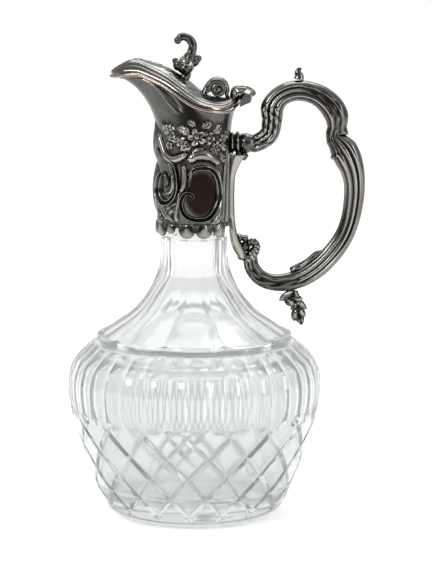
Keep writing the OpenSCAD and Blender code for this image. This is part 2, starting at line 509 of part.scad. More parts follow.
// Leaf that runs off the lid over the hinge and curls down behind it
tail_half_w = 7;
tail_root_t = 36;
tail_bore = knuckle_r + 0.5;
tail_crest = [[-8, 5.4], [-4.5, 7], [0, 6.6], [3.8, 4.4], [5.4, 1.7]];
tail_tip_r = 4.5;
module lid_tail_leaf() color("dimgray") translate([hinge_x, 0, hinge_z]) intersection() {
    rotate([90, 0, 0]) linear_extrude(height = far, center = true) {
        root = [lid_x(tail_root_t) - hinge_x, lid_top(tail_root_t) - hinge_z + 2 * fit];
        top = concat([root + [0, 0.8]], tail_crest);
        polygon(concat([for (k = [15:15:90]) [tail_bore * cos(k), tail_bore * sin(k)]], [root],
            [for (k = [0:14]) along(top, k / 14)]));
    }
    linear_extrude(height = far, center = true) hull() {
        translate([-1.6 * tail_half_w, 0]) circle(r = 0.6 * tail_half_w);
        translate([-0.6 * tail_half_w, 0]) circle(r = tail_half_w);
        translate([tail_crest[4][0] + 0.6 - tail_tip_r, 0]) circle(r = tail_tip_r);
    }
}

// Finial: a curl that rises from a bud, with a screw through the lid and a nut under it
finial_root = let(rise = lid_top(finial_t - 6) - lid_top(finial_t + 6), run = lid_x(finial_t - 6) - lid_x(finial_t + 6))
    unit([-rise, run]);
finial_line = [[0.4 * finial_root[0], 0.4 * finial_root[1], 2.6], [2 * finial_root[0], 2 * finial_root[1], 2.1],
    [0.9, 4.2, 3.4], [1, 6.4, 5.2], [1.6, 8.6, 4.8], [2.6, 10.8, 2.6],
    [4, 14, 2.3], [4.4, 17.4, 2.3], [2.4, 20.5, 2.1], [-1, 21.6, 2.1], [-3.8, 20.4, 2], [-4.4, 18.8, 1.2]];
finial_drawn_h = 23.5;
finial_rise = finial_h / finial_drawn_h;
module lid_finial() color("dimgray") translate([finial_x, 0, finial_z])
    skin(tube_rings([for (p = finial_line) [p[0], p[1] * finial_rise, p[2]]], 28, 12, 1, 0));
nut_r = 3;
nut_h = 1.8;
nut_top = finial_z - 1.3 * lid_wall - 2.6;
screw_foot = nut_top - nut_h - 0.6;
screw_top = finial_z - 8 * fit;
module finial_screw() color("silver")
    translate([finial_x, 0, screw_foot]) cylinder(r = stud_r, h = screw_top - screw_foot);
module finial_nut() color("silver") difference() {
    translate([finial_x, 0, nut_top - nut_h]) cylinder(r = nut_r, h = nut_h, $fn = 6);
    screw_hole();
}

glass_body();
plaster_bedding();
mount_collar();
rim_wire();
shell_border();
back_strap();
cartouche_near();
cartouche_far();
flower_spray_near();
flower_spray_far();
front_scrolls();
handle_socket();
handle();
handle_crest_leaf();
handle_drop_leaf();
handle_inner_leaf();
handle_bracket();
lid();
lid_volute();
lid_tail_leaf();
lid_finial();
finial_screw();
finial_nut();
hinge_mount_knuckles();
hinge_lid_knuckle();
hinge_pin();
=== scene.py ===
import math

import bpy
import numpy as np
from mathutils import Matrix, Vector


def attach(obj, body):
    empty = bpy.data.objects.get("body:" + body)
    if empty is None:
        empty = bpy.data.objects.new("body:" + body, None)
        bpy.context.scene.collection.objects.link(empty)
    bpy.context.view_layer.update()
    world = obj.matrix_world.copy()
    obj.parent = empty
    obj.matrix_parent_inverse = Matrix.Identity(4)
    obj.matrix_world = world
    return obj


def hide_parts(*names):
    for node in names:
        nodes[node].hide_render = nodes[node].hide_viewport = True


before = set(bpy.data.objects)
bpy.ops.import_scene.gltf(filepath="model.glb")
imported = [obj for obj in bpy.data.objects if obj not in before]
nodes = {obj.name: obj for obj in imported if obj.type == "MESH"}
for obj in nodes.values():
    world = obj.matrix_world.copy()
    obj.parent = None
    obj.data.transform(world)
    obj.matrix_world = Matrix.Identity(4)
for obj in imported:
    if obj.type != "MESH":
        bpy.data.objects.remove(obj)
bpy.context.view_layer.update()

# shared curves and grids

def mix(a, b, k):
    return a + (b - a) * k


def held(x):
    return np.clip(x, 0, 1)


def ease(k):
    # 0 to 1 with level ends: 3k squared minus 2k cubed
    k = held(k)
    return k * k * (3 - 2 * k)


def window(x, start, rise, end, fall):
    # 0 up to start, eased to 1 over rise, and back to 0 over the fall that ends at end
    return ease((x - start) / rise) * ease((end - x) / fall)


def bump(x, centre, width):
    # bell curve: e to the minus square of (x - centre) / width
    return np.exp(-((x - centre) / width) ** 2)


def cosD(degrees):
    return np.cos(np.radians(degrees))


def sinD(degrees):
    return np.sin(np.radians(degrees))


def fullTurn(steps):
    # angles in even steps round a circle, in radians, as a row
    return np.linspace(0, 2 * math.pi, steps, endpoint=False)[None, :]


def xyz(x, y, z):
    return np.stack([x, y, z], -1)


def roundPoints(r, degrees, z):
    # points at distance r from the Z axis
    return xyz(r * cosD(degrees), r * sinD(degrees), z)


def unit(v):
    # vectors over their lengths
    return v / np.maximum(np.linalg.norm(v, axis=-1, keepdims=True), 1e-9)


def through(table, x):
    # cubic curve through the points of a table; its slope at each is that of the line between its neighbours
    t = np.array(table, float)
    x = np.asarray(x, float)
    i = np.clip(np.searchsorted(t[:, 0], x, side="right") - 1, 0, len(t) - 2)
    n = len(t) - 1
    lo = np.maximum(np.arange(n + 1) - 1, 0)
    hi = np.minimum(np.arange(n + 1) + 1, n)
    slope = (t[hi, 1] - t[lo, 1]) / (t[hi, 0] - t[lo, 0])
    h = t[i + 1, 0] - t[i, 0]
    f = (x - t[i, 0]) / h
    return ((2 * f ** 3 - 3 * f ** 2 + 1) * t[i, 1] + (f ** 3 - 2 * f ** 2 + f) * h * slope[i]
            + (3 * f ** 2 - 2 * f ** 3) * t[i + 1, 1] + (f ** 3 - f ** 2) * h * slope[i + 1])


def along(points, u):
    # smooth curve through points; u runs from 0 at the first to 1 at the last
    p = np.array(points, float)
    n = len(p) - 1
    u = held(np.asarray(u, float))
    s = np.minimum(n - 1, np.floor(u * n)).astype(int)
    f = (u * n - s)[..., None]
    a, b, c, d = p[np.maximum(0, s - 1)], p[s], p[s + 1], p[np.minimum(n, s + 2)]
    return 0.5 * (2 * b + (c - a) * f + (2 * a - 5 * b + 4 * c - d) * f ** 2
                  + (3 * b - 3 * c + d - a) * f ** 3)


def headings(path):
    # unit direction of travel at each point of a flat path
    return unit(np.gradient(path, axis=0))


def course(path, steps):
    # places from 0 to 1 as a column, the path's points there and its directions
    u = np.linspace(0, 1, steps)
    p = along(path, u)
    return u[:, None], p, headings(p[:, :2])


def gridFaces(rows, cols, loopRows, loopCols):
    # the four corners of each cell between two rows and two columns, joined round where they loop
    u = np.arange(rows if loopRows else rows - 1)[:, None]
    v = np.arange(cols if loopCols else cols - 1)[None, :]
    un, vn = (u + 1) % rows, (v + 1) % cols
    return np.stack([u * cols + v, u * cols + vn, un * cols + vn, un * cols + v], -1).reshape(-1, 4)


def fanFaces(ring, centre):
    # triangles from each side of a ring to its centre point
    return np.stack([ring, np.roll(ring, -1), np.full(len(ring), centre)], -1)


def signedVolume(points, faces):
    # sum over the faces of corner . (next x last) / 6, positive when they face outwards
    total = 0.0
    for f in faces:
        for k in range(1, f.shape[1] - 1):
            a, b, c = points[f[:, 0]], points[f[:, k]], points[f[:, k + 1]]
            total += np.einsum("ij,ij->", a, np.cross(b, c)) / 6
    return total


def blurred(a, around, loopRows, loopCols):
    # mean over a square of 2 around + 1 points, wrapped or held at the edges
    def oneWay(x, axis, loop):
        n = x.shape[axis]
        total = np.zeros_like(x)
        for k in range(-around, around + 1):
            index = np.arange(n) + k
            index = index % n if loop else np.clip(index, 0, n - 1)
            total += np.take(x, index, axis=axis)
        return total / (2 * around + 1)
    return oneWay(oneWay(a, 0, loopRows), 1, loopCols)


def hollowOf(points, around, scale, loopRows, loopCols, sign):
    # how far a point lies under the mean of its surroundings along its own normal, as 0.5 +- share of scale
    du = np.gradient(points, axis=0)
    dv = (np.roll(points, -1, axis=1) - np.roll(points, 1, axis=1)) / 2
    normal = unit(np.cross(dv, du)) * sign
    dip = np.einsum("ijk,ijk->ij", blurred(points, around, loopRows, loopCols) - points, normal)
    return held(0.5 + 0.5 * (dip - np.median(dip)) / scale)


def makeMesh(name, points, faces):
    # points in millimetres, faces as arrays of three or four corners
    mesh = bpy.data.meshes.new(name)
    mesh.vertices.add(len(points))
    mesh.vertices.foreach_set("co", (points * 0.001).astype(np.float32).ravel())
    corners = np.concatenate([f.ravel() for f in faces])
    sizes = np.concatenate([np.full(len(f), f.shape[1]) for f in faces])
    mesh.loops.add(len(corners))
    mesh.loops.foreach_set("vertex_index", corners.astype(np.int32))
    mesh.polygons.add(len(sizes))
    mesh.polygons.foreach_set("loop_start", (np.cumsum(sizes) - sizes).astype(np.int32))
    mesh.polygons.foreach_set("use_smooth", np.ones(len(sizes), bool))
    mesh.update(calc_edges=True)
    return mesh


def addPiece(name, points, faces, body, material, replaces, sharp=None, hollow=None, stain=None):
    if signedVolume(points, faces) < 0:
        faces = [f[:, ::-1] for f in faces]
    mesh = makeMesh(name, points, faces)
    if sharp:
        mesh.set_sharp_from_angle(angle=math.radians(sharp))
    for key, values in (("hollow", hollow), ("stain", stain)):
        if values is not None:
            layer = mesh.attributes.new(key, "FLOAT", "POINT")
            layer.data.foreach_set("value", values.astype(np.float32))
    mesh.materials.append(material)
    piece = bpy.data.objects.new(name, mesh)
    bpy.context.scene.collection.objects.link(piece)
    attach(piece, body)
    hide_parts(*replaces)
    print("piece", name, len(points), "points")


def gridParts(points, around=3, scale=0.25, loopRows=False):
    # grid of rows of points round a solid: its faces, the caps at its two ends and its hollows
    rows, cols = points.shape[:2]
    flat = points.reshape(-1, 3)
    faces = [gridFaces(rows, cols, loopRows, True)]
    if not loopRows:
        ends = [np.arange(cols)[::-1], np.arange(cols) + (rows - 1) * cols]
        flat = np.concatenate([flat, points[0].mean(0)[None], points[-1].mean(0)[None]])
        faces += [fanFaces(ends[0], rows * cols), fanFaces(ends[1], rows * cols + 1)]
    sign = 1 if signedVolume(flat, faces) > 0 else -1
    hollow = hollowOf(points, around, scale, loopRows, True, sign).ravel()
    if not loopRows:
        hollow = np.concatenate([hollow, [0.5, 0.5]])
    return flat, faces, hollow


def joined(parts):
    # several grids as one piece
    points, faces, hollows, start = [], [], [], 0
    for p, fs, h in parts:
        if signedVolume(p, fs) < 0:
            fs = [f[:, ::-1] for f in fs]
        points.append(p)
        hollows.append(h)
        faces += [f + start for f in fs]
        start += len(p)
    return np.concatenate(points), faces, np.concatenate(hollows)


def addGrids(name, parts, body, material, replaces, sharp=None, stain=None):
    points, faces, hollow = joined(parts)
    addPiece(name, points, faces, body, material, replaces, sharp, hollow, stain)


# materials

def nodeTree(name):
    material = bpy.data.materials.new(name)
    material.use_nodes = True
    tree = material.node_tree
    return material, tree, tree.nodes["Principled BSDF"]


def setInputs(tree, node, inputs):
    # another node's output is linked, a plain value is set
    for key, value in inputs.items():
        if hasattr(value, "is_output"):
            tree.links.new(value, node.inputs[key])
        else:
            node.inputs[key].default_value = value


def addNode(tree, kind, inputs=None, **settings):
    node = tree.nodes.new(kind)
    for key, value in settings.items():
        setattr(node, key, value)
    setInputs(tree, node, inputs or {})
    return node


def objectPlace(tree):
    return addNode(tree, "ShaderNodeTexCoord").outputs["Object"]


def ramp(tree, factor, stops):
    node = addNode(tree, "ShaderNodeValToRGB", {0: factor})
    elements = node.color_ramp.elements
    while len(elements) < len(stops):
        elements.new(0.5)
    for element, (place, colour) in zip(elements, stops):
        element.position = place
        element.color = (*colour, 1)
    return node.outputs[0]


def tones(tree, factor, look):
    # ramp through the named colours of a look, each at its stop
    return ramp(tree, factor, [(stop, look[name]) for name, stop in look["stops"].items()])


def calc(tree, kind, a, b):
    return addNode(tree, "ShaderNodeMath", {0: a, 1: b}, operation=kind).outputs[0]


def swayed(tree, value, by, share):
    # value plus share of how far by lies over a half
    return calc(tree, "ADD", value, calc(tree, "MULTIPLY", calc(tree, "SUBTRACT", by, 0.5), share))


def blend(tree, factor, a, b, **kind):
    return addNode(tree, "ShaderNodeMix", {"Factor": factor, "A": a, "B": b}, **kind)


def spread(tree, value, fromMin, fromMax, toMin, toMax, curve="LINEAR"):
    ends = {"Value": value, "From Min": fromMin, "From Max": fromMax, "To Min": toMin, "To Max": toMax}
    return addNode(tree, "ShaderNodeMapRange", ends, interpolation_type=curve).outputs[0]


def noise(tree, place, scale, detail, rough=0.5):
    ends = {"Vector": place, "Scale": scale, "Detail": detail, "Roughness": rough}
    return addNode(tree, "ShaderNodeTexNoise", ends).outputs["Fac"]


def meshValue(tree, name):
    return addNode(tree, "ShaderNodeAttribute", attribute_name=name).outputs["Fac"]


silverLook = {
    "edge": (0.34, 0.325, 0.30),
    "face": (0.115, 0.118, 0.112),
    "shade": (0.048, 0.045, 0.041),
    "recess": (0.012, 0.010, 0.009),
    "stops": {"edge": 0.2, "face": 0.46, "shade": 0.66, "recess": 0.88},      # hollow where each tone stands
    "warm": (0.10, 0.062, 0.046),
    "warmShare": 0.3,
    "stainColour": (0.016, 0.008, 0.006),
    "patchScale": 55.0,
    "patchShare": 0.3,
    "fineScale": 700.0,
    "fineShare": 0.22,
    "grain": 0.06,
    "rough": (0.15, 0.27),       # where it stands proud, where it lies low
}


def silverMaterial(name, look, hollowed=True):
    # silver plate: dark where it lies low, worn bright where it stands proud, with brown bloom in patches
    material, tree, shader = nodeTree(name)
    place = objectPlace(tree)
    patches = noise(tree, place, look["patchScale"], 4.0, 0.6)
    fine = noise(tree, place, look["fineScale"], 3.0, 0.55)
    low = meshValue(tree, "hollow") if hollowed else spread(tree, patches, 0.3, 0.7, 0.36, 0.52)
    low = swayed(tree, low, fine, look["fineShare"])
    low = swayed(tree, low, patches, look["patchShare"])
    warmth = spread(tree, patches, 0.48, 0.72, 0.0, look["warmShare"])
    colour = blend(tree, warmth, tones(tree, low, look), (*look["warm"], 1), data_type="RGBA")
    stain = calc(tree, "MULTIPLY", meshValue(tree, "stain"), spread(tree, patches, 0.3, 0.7, 1.0, 0.93))
    colour = blend(tree, stain, colour.outputs["Result"], (*look["stainColour"], 1), data_type="RGBA")
    rough = spread(tree, low, 0.35, 0.8, *look["rough"])
    grain = addNode(tree, "ShaderNodeBump", {"Height": fine, "Strength": look["grain"], "Distance": 0.0002})
    setInputs(tree, shader, {"Base Color": colour.outputs["Result"], "Roughness": rough,
                             "Normal": grain.outputs[0], "Metallic": 1.0})
    return material


crystalLook = {
    "foot": (0.80, 0.83, 0.81),
    "belly": (0.815, 0.84, 0.825),
    "shoulder": (0.88, 0.905, 0.91),
    "neck": (0.955, 0.965, 0.965),
    "stops": {"foot": 0.0, "belly": 0.3, "shoulder": 0.46, "neck": 0.58},     # height as a share of 0.2 m
    "cut": 0.9,                  # painted shade in the cuts: share of the tint kept where the cut is deepest
    "hazeScale": 38.0,
    "hazeShift": 0.012,
    "rough": (0.06, 0.115),
    "clear": 0.84,
    "refraction": 1.54,
}


def crystalMaterial(name, look):
    # lead crystal, grey-green, darker towards the foot and clearer up the neck, with painted shade along the
    # cuts
    material, tree, shader = nodeTree(name)
    place = objectPlace(tree)
    height = addNode(tree, "ShaderNodeSeparateXYZ", {0: place}).outputs["Z"]
    haze = noise(tree, place, look["hazeScale"], 3.0)
    level = spread(tree, swayed(tree, height, haze, look["hazeShift"]), 0.0, 0.2, 0.0, 1.0)
    # painted shade: the tint darkens where the cuts lie deep
    cutShade = spread(tree, meshValue(tree, "hollow"), 0.0, 1.0, 1.0, look["cut"])
    # grey-green tint set by height alone, darker towards the foot
    tint = tones(tree, level, look)
    colour = addNode(tree, "ShaderNodeVectorMath", {0: tint, "Scale": cutShade}, operation="SCALE")
    rough = spread(tree, haze, 0.3, 0.7, *look["rough"])
    setInputs(tree, shader, {"Base Color": colour.outputs[0], "Roughness": rough,
                             "Transmission Weight": look["clear"], "IOR": look["refraction"]})
    return material


plasterLook = {
    "dark": (0.55, 0.51, 0.43),
    "light": (0.80, 0.78, 0.72),
    "stops": {"dark": 0.3, "light": 0.7},
    "grainScale": 240.0,
    "rough": 0.85,
}


def plasterMaterial(name, look):
    material, tree, shader = nodeTree(name)
    place = objectPlace(tree)
    grain = noise(tree, place, look["grainScale"], 6.0, 0.7)
    relief = addNode(tree, "ShaderNodeBump", {"Height": grain, "Strength": 0.4, "Distance": 0.0004})
    setInputs(tree, shader, {"Base Color": tones(tree, grain, look), "Normal": relief.outputs[0],
                             "Roughness": look["rough"]})
    return material


wornLook = dict(silverLook, face=(0.33, 0.27, 0.23), edge=(0.62, 0.54, 0.47))
silver = silverMaterial("agedSilver", silverLook)
plainSilver = silverMaterial("turnedSilver", silverLook, hollowed=False)
brightSilver = silverMaterial("wornSilver", wornLook)
crystal = crystalMaterial("leadCrystal", crystalLook)
plaster = plasterMaterial("bedding", plasterLook)
print("materials ready")


def addSilver(name, parts, replaces, body="jug", sharp=None, stain=None):
    addGrids(name, parts, body, silver, replaces, sharp, stain)


# glass

glassCut = {
    "baseR": 40.0,
    "bodyR": 74.2,
    "shoulderZ": 102.0,
    "ledgeR": 58.7,
    "ledgeH": 5.0,
    "neckFlatR": 18.3,
    "slopeR": 37.6,
    "slopeZ": 118.0,
    "neckZ": 158.0,
    "neckTopR": 17.9,
    "glassZ": 221.0,
    "boreR": 13.5,
    "wall": 6.0,
    "baseT": 12.0,
    "fluteDepth": 1.4,
    "fluteFootZ": 62.5,
    "grooveDepth": 1.5,
    "grooveShare": 0.2,      # half the groove over a lattice cell, a whole number of tenths
    "cutTurn": 7,            # columns from angle 0 to the first arris
    "rowTurn": -0.5,         # degrees that the cut rows lie behind the neck's rows
    "crossings": (0.088, 0.2, 0.314, 0.44, 0.57),      # heights of the lattice's rows, of shoulderZ
    "crossingEnds": (-1.5, 72.0),
    "heelRows": [0.5, 1.2, 2.2, 3.4, 4.6, 5.8, 7.0, 8.0],
    "ledgeRoll": ((1.0, 0.1), (1.0, 0.45), (0.996, 0.68), (0.985, 0.86), (0.965, 0.98)),     # radius, height
    "slopeIn": [[26.5, 121], [33.1, 113.5], [42.5, 106.5], [50.5, 101], [57.8, 95.6]],
    "wallRows": (91, 86, 81, 74, 66, 58, 50, 42, 34, 27, 21),
    "floorIn": [[50, 17.5], [46, 14.6], [40, 12.9], [30, 12.1], [15, 12.0]],
    "base": [[14.0, 0.0], [30.0, 0.0], [38.5, 0.0]],
}
bodyOutline = [[0.012, 0.62], [0.04, 0.679], [0.088, 0.722], [0.2, 0.798], [0.314, 0.85],
               [0.44, 0.906], [0.57, 0.964], [0.65, 0.984], [0.755, 1], [0.83, 0.989],
               [0.897, 0.951], [0.965, 0.868], [1, 0.81]]


def glassR(z):
    # radius of the body: the outline's share of its widest radius at the share of the shoulder's height
    return glassCut["bodyR"] * through(bodyOutline, z / glassCut["shoulderZ"])


def glassBody():
    # one grid of 360 columns, a degree apart, from the middle of the base up the outside and down the inside
    g = glassCut
    angle = np.arange(360.0)
    crossings = [share * g["shoulderZ"] for share in g["crossings"]]
    latticeZ = [g["crossingEnds"][0], *crossings, g["crossingEnds"][1]]
    cell = np.linspace(0, 1, 10, endpoint=False)
    zLattice = np.concatenate([mix(a, b, cell) for a, b in zip(latticeZ[1:-2], latticeZ[2:-1])])
    zHigh = np.linspace(latticeZ[-2], g["shoulderZ"], 46)
    z = np.concatenate([g["heelRows"], zLattice, zHigh])[:, None]
    # grooves: both diagonals of a lattice cell, taken in turn, as V cuts that run out above and below
    row = np.interp(z, latticeZ, np.arange(-1, 6))
    column = (angle[None, :] - g["cutTurn"]) / 10
    i, j = np.floor(column), np.floor(row)
    x, y = column - i, row - j
    off = np.where((i + j) % 2 == 0, np.abs(x - y), np.abs(x + y - 1))
    runOut = held(np.minimum(1 + row / 0.3, 1 + (4 - row) / 0.42))
    groove = g["grooveDepth"] * held(1 - off / g["grooveShare"] - (1 - runOut))
    # flutes: round-bottomed cuts side by side, each with a rounded lower end
    end = held((g["fluteFootZ"] + 2 - z) / 4.5) ** 1.5 + 0.9 * held((z - 97.5) / 4.5) ** 2
    flute = g["fluteDepth"] * held(4 * x * (1 - x) - end) * (z > g["fluteFootZ"] - 3.5)
    lip = mix(g["baseR"] + 2.4, glassR(1.2), held((z - 0.5) / 0.7))
    lipR = np.where(z < 1.2, lip, glassR(np.maximum(z, 1.2)))
    rings = [lipR - np.maximum(groove, flute)]
    heights = [np.broadcast_to(z, rings[0].shape)]
    # depth of the grooves and flutes, which the crystal's material turns into painted shade
    dips = [np.maximum(groove / g["grooveDepth"], 0.5 * flute / g["fluteDepth"])]
    cutRows = len(z)
    one = np.ones((1, 360))

    def addRing(r, height, dip=0.0):
        rings.append(one * r)
        heights.append(one * height)
        dips.append(one * dip)

    # ledge: one shallow arc to each panel of the neck, with a rolled edge
    u = ((angle[None, :] % 36) - 18) / 18
    scallop = 1 - 0.05 * u ** 2 * ease(np.abs(u) * 1.2) - 0.012 * bump(np.abs(u), 1, 0.12)
    ledgeZ, ledgeTop = g["shoulderZ"], g["shoulderZ"] + g["ledgeH"]
    for share, rise in g["ledgeRoll"]:
        addRing(g["ledgeR"] * scallop * share, ledgeZ + rise * g["ledgeH"])
    # neck: flat panels, distance over the cosine of the angle from each panel's middle
    flatR, slopeR, slopeZ, neckZ = g["neckFlatR"], g["slopeR"], g["slopeZ"], g["neckZ"]
    arcR = ((slopeR - flatR) ** 2 + (neckZ - slopeZ) ** 2) / (2 * (slopeR - flatR))
    zSlope = np.linspace(ledgeTop + 0.15, slopeZ, 7)
    zNeck = np.concatenate([zSlope, np.linspace(slopeZ, neckZ, 27)[1:], [neckZ + 5]])
    straight = mix(g["ledgeR"] * 0.915, slopeR, (zNeck - ledgeTop) / (slopeZ - ledgeTop))
    arc = flatR + arcR - np.sqrt(np.maximum(arcR ** 2 - (neckZ - np.minimum(zNeck, neckZ)) ** 2, 0))
    flat = np.where(zNeck < slopeZ, straight, arc)
    panel = 1 / cosD((angle[None, :] % 36) - 18)
    rings.append(flat[:, None] * panel)
    heights.append(zNeck[:, None] * one)
    dips.append(np.zeros((len(zNeck), 360)))
    # round top of the neck, its rim, the bore and the inside of the body
    for r, height in ((g["neckTopR"], neckZ + 6), (g["neckTopR"], g["glassZ"] - 1),
                      (g["neckTopR"] - 1, g["glassZ"]), (g["boreR"] + 1, g["glassZ"]),
                      (g["boreR"], g["glassZ"] - 1)):
        addRing(r, height)
    inside = [[g["boreR"], 216], [g["boreR"], 180], [g["boreR"], 150], [g["boreR"] + 0.5, 140]]
    inside += [[flatR + 1.2, 131.5]] + g["slopeIn"]
    inside += [[float(glassR(z0)) - g["wall"], z0] for z0 in g["wallRows"]] + g["floorIn"]
    for r, height in along(inside, np.linspace(0, 1, 70)):
        addRing(r, height)
    r, height, dip = np.concatenate(rings), np.concatenate(heights), np.concatenate(dips)
    base = np.array(g["base"] + [[g["baseR"], 0.05]])
    baseRows = len(base)
    r = np.concatenate([base[:, :1] * one, r])
    height = np.concatenate([base[:, 1:] * one, height])
    dip = np.concatenate([np.zeros((baseRows, 360)), dip])
    rows = len(r)
    turn = np.where(np.arange(rows) < baseRows + cutRows, g["rowTurn"], 0.0)[:, None]
    points = roundPoints(r, angle[None, :] + turn, height)
    # quads are split along the grooves, so that each V has straight edges
    quads = gridFaces(rows, 360, False, True)
    after = np.full(rows - baseRows - cutRows, 9.0)
    rowOf = np.concatenate([np.full(baseRows, -9.0), row[:, 0], after])
    quadRow = np.floor(np.repeat(0.5 * (rowOf[:-1] + rowOf[1:]), 360))
    quadColumn = np.floor(np.tile(angle + 0.5 - g["cutTurn"], rows - 1) / 10)
    rising = ((quadRow + quadColumn) % 2 == 0)[:, None]
    first = np.where(rising, quads[:, [0, 1, 2]], quads[:, [0, 1, 3]])
    second = np.where(rising, quads[:, [0, 2, 3]], quads[:, [1, 2, 3]])
    flatPoints = np.concatenate([points.reshape(-1, 3), [[0, 0, 0], [0, 0, g["baseT"]]]])
    faces = [first, second, fanFaces(np.arange(360)[::-1], rows * 360),
             fanFaces(np.arange(360) + (rows - 1) * 360, rows * 360 + 1)]
    hollow = np.concatenate([dip.ravel(), [0, 0]])
    addPiece("crystalBody", flatPoints, faces, "jug", crystal, ("glass_body",), 13, hollow)


glassBody()
print("glass ready")

# mount

mount = {
    "sleeveIn": 20.05,
    "wall": 1.4,
    "foot": 171.0,
    "waist": 225.0,
    "spoutReach": 46.3,
    "mouthBack": 26.4,
    "mouthHalfW": 22.5,
    "backShare": 1.05,
    "spoutShare": 0.46,
    "narrowing": (55, 75),   # degrees from the back where the mouth starts to narrow, and over how many
    "wireR": 1.1,
    "columns": 440,
    "chaseTop": 44,          # how far up the flare the chased work runs, in degrees of its curve
    # height, angle from the back, its lean, width, window of the flare's curve
    "folds": [(0.9, 140, 0.42, 6, (22, 14, 86, 20)), (-0.7, 124, 0.35, 5, (26, 12, 82, 20))],
}
sleeveR = mount["sleeveIn"] + mount["wall"]
ornamentR = sleeveR + 0.05
arcPerDegree = math.radians(1) * ornamentR
mouthMid = (mount["mouthBack"] - mount["spoutReach"]) / 2
mouthHalfL = (mount["mouthBack"] + mount["spoutReach"]) / 2
mouthRise = [[-1, 31.5], [-0.62, 32.7], [-0.39, 29.9], [-0.16, 25.9], [0.23, 16.3],
             [0.46, 13.1], [0.77, 12.1], [1, 15.8]]


def mouthY(t):
    # half width of the mouth times sine of the angle, its share falling from the back to the spout
    bow = np.abs((np.asarray(t) + 180) % 360 - 180)
    start, over = mount["narrowing"]
    share = mix(mount["backShare"], mount["spoutShare"], ease((bow - start) / over))
    return mount["mouthHalfW"] * sinD(t) * share


def mouthZ(t):
    # height of the mouth's edge: the waist plus a rise that follows cosine of the angle
    return mount["waist"] + through(mouthRise, cosD(t))


def flare(t, s):
    # quarter of an ellipse from the round waist, s = 0, out to the mouth, s = 90; t runs round from the back
    c, d = cosD(t), sinD(t)
    k = (1 - cosD(s)) ** 0.8
    x, y = mix(sleeveR * c, mouthMid + mouthHalfL * c, k), mix(sleeveR * d, mouthY(t), k)
    return xyz(x, y, mix(mount["waist"], mouthZ(t), sinD(s)))


def flareNormal(t, s):
    # outward direction: cross product of the steps round and up the flare
    du = flare(t + 1, s) - flare(t - 1, s)
    dv = flare(t, np.minimum(90, s + 1)) - flare(t, np.maximum(0, s - 1))
    return unit(np.cross(du, dv))


def nearness(x, z, path):
    # distance from each point of a grid to a path of [x, z, half width]; the half width and place there
    best = np.full(x.shape, 1e9)
    half = np.ones(x.shape)
    place = np.zeros(x.shape)
    for k, (px, pz, pw) in enumerate(path):
        d = (x - px) ** 2 + (z - pz) ** 2
        nearer = d < best
        best = np.where(nearer, d, best)
        half = np.where(nearer, pw, half)
        place = np.where(nearer, k / (len(path) - 1), place)
    return np.sqrt(best), half, place


def roundOver(d, half):
    # half circle over the half width, as a share of it
    return np.sqrt(held(1 - (d / half) ** 2))


def sweepRings(path, t, section):
    # carries a section, [out, across] for each point of the path, along a path in the XZ plane
    side = np.stack([-t[:, 1], t[:, 0]], -1)
    out, across = section
    x = path[:, :1] + side[:, :1] * out
    z = path[:, 1:2] + side[:, 1:2] * out
    return xyz(x, across + np.zeros_like(x), z)


def onMount(line, steps):
    # [angle, height, half] points as [arc length, height, half]
    points = [[angle * arcPerDegree, mount["foot"] + height, half] for angle, height, half in line]
    return along(points, np.linspace(0, 1, steps))


def ridge(x, z, line, height):
    # round ridge along a line on the wall, its height falling to nothing at both ends
    d, half, place = nearness(x, z, onMount(line, 70))
    crown = roundOver(d, half) ** np.where(half > 2.9, 2.0, 1.0)
    return height * crown * ease(place * 7) * ease((1 - place) * 7)


def leafRelief(x, z, root, tip, half, lobes, height):
    # almond from root to tip: edge = half width times sine, notched by |sine|, ribbed from a sunk midrib
    a = np.array([root[0] * arcPerDegree, mount["foot"] + root[1]])
    axis = np.array([tip[0] * arcPerDegree, mount["foot"] + tip[1]]) - a
    length = np.hypot(*axis)
    axis = axis / length
    u = ((x - a[0]) * axis[0] + (z - a[1]) * axis[1]) / length
    v = -(x - a[0]) * axis[1] + (z - a[1]) * axis[0]
    v = v + 0.25 * half * np.sin(np.pi * held(u))
    notch = 1 - 0.25 * np.abs(np.sin(np.pi * lobes * u))
    edge = half * np.sin(np.pi * held(u) ** 0.8) ** 0.8 * notch
    inside = (u > 0) & (u < 1) & (np.abs(v) < edge)
    w = np.abs(v) / np.maximum(edge, 1e-3)
    rib = np.abs(np.cos(np.pi * lobes * (u - 0.5 * w * half / length)))
    body = held(1 - w ** 2) ** 0.5 * (0.78 + 0.22 * rib) - 0.25 * bump(v, 0, 0.16 * half)
    ends = np.sin(np.pi * np.clip(u, 0.03, 0.97)) ** 0.4
    return np.where(inside, height * held(body) * ends, 0)


def bloomRelief(x, z, centre, size, petals, turn, height):
    # cupped petals, |cosine| of the angle, round a raised seed head
    dx, dz = x - centre[0] * arcPerDegree, z - mount["foot"] - centre[1]
    r = np.hypot(dx, dz) / size
    a = np.arctan2(dz, dx) + turn + 0.5 * r
    lobe = np.abs(np.cos(petals * a / 2)) ** 0.7
    rim = 0.4 + 0.6 * lobe
    cup = 0.35 + 0.65 * ease((r - 0.25) / 0.5)
    body = held(1 - (r / rim) ** 6) ** 0.5 * cup
    body = body * (1 - 0.35 * bump(lobe, 1, 0.2) * (r > 0.3))
    seed = held(1 - (r / 0.27) ** 2) ** 0.5 * (0.75 + 0.25 * np.cos(9 * a) * (r > 0.1))
    return height * np.maximum(body * (r < rim), seed)


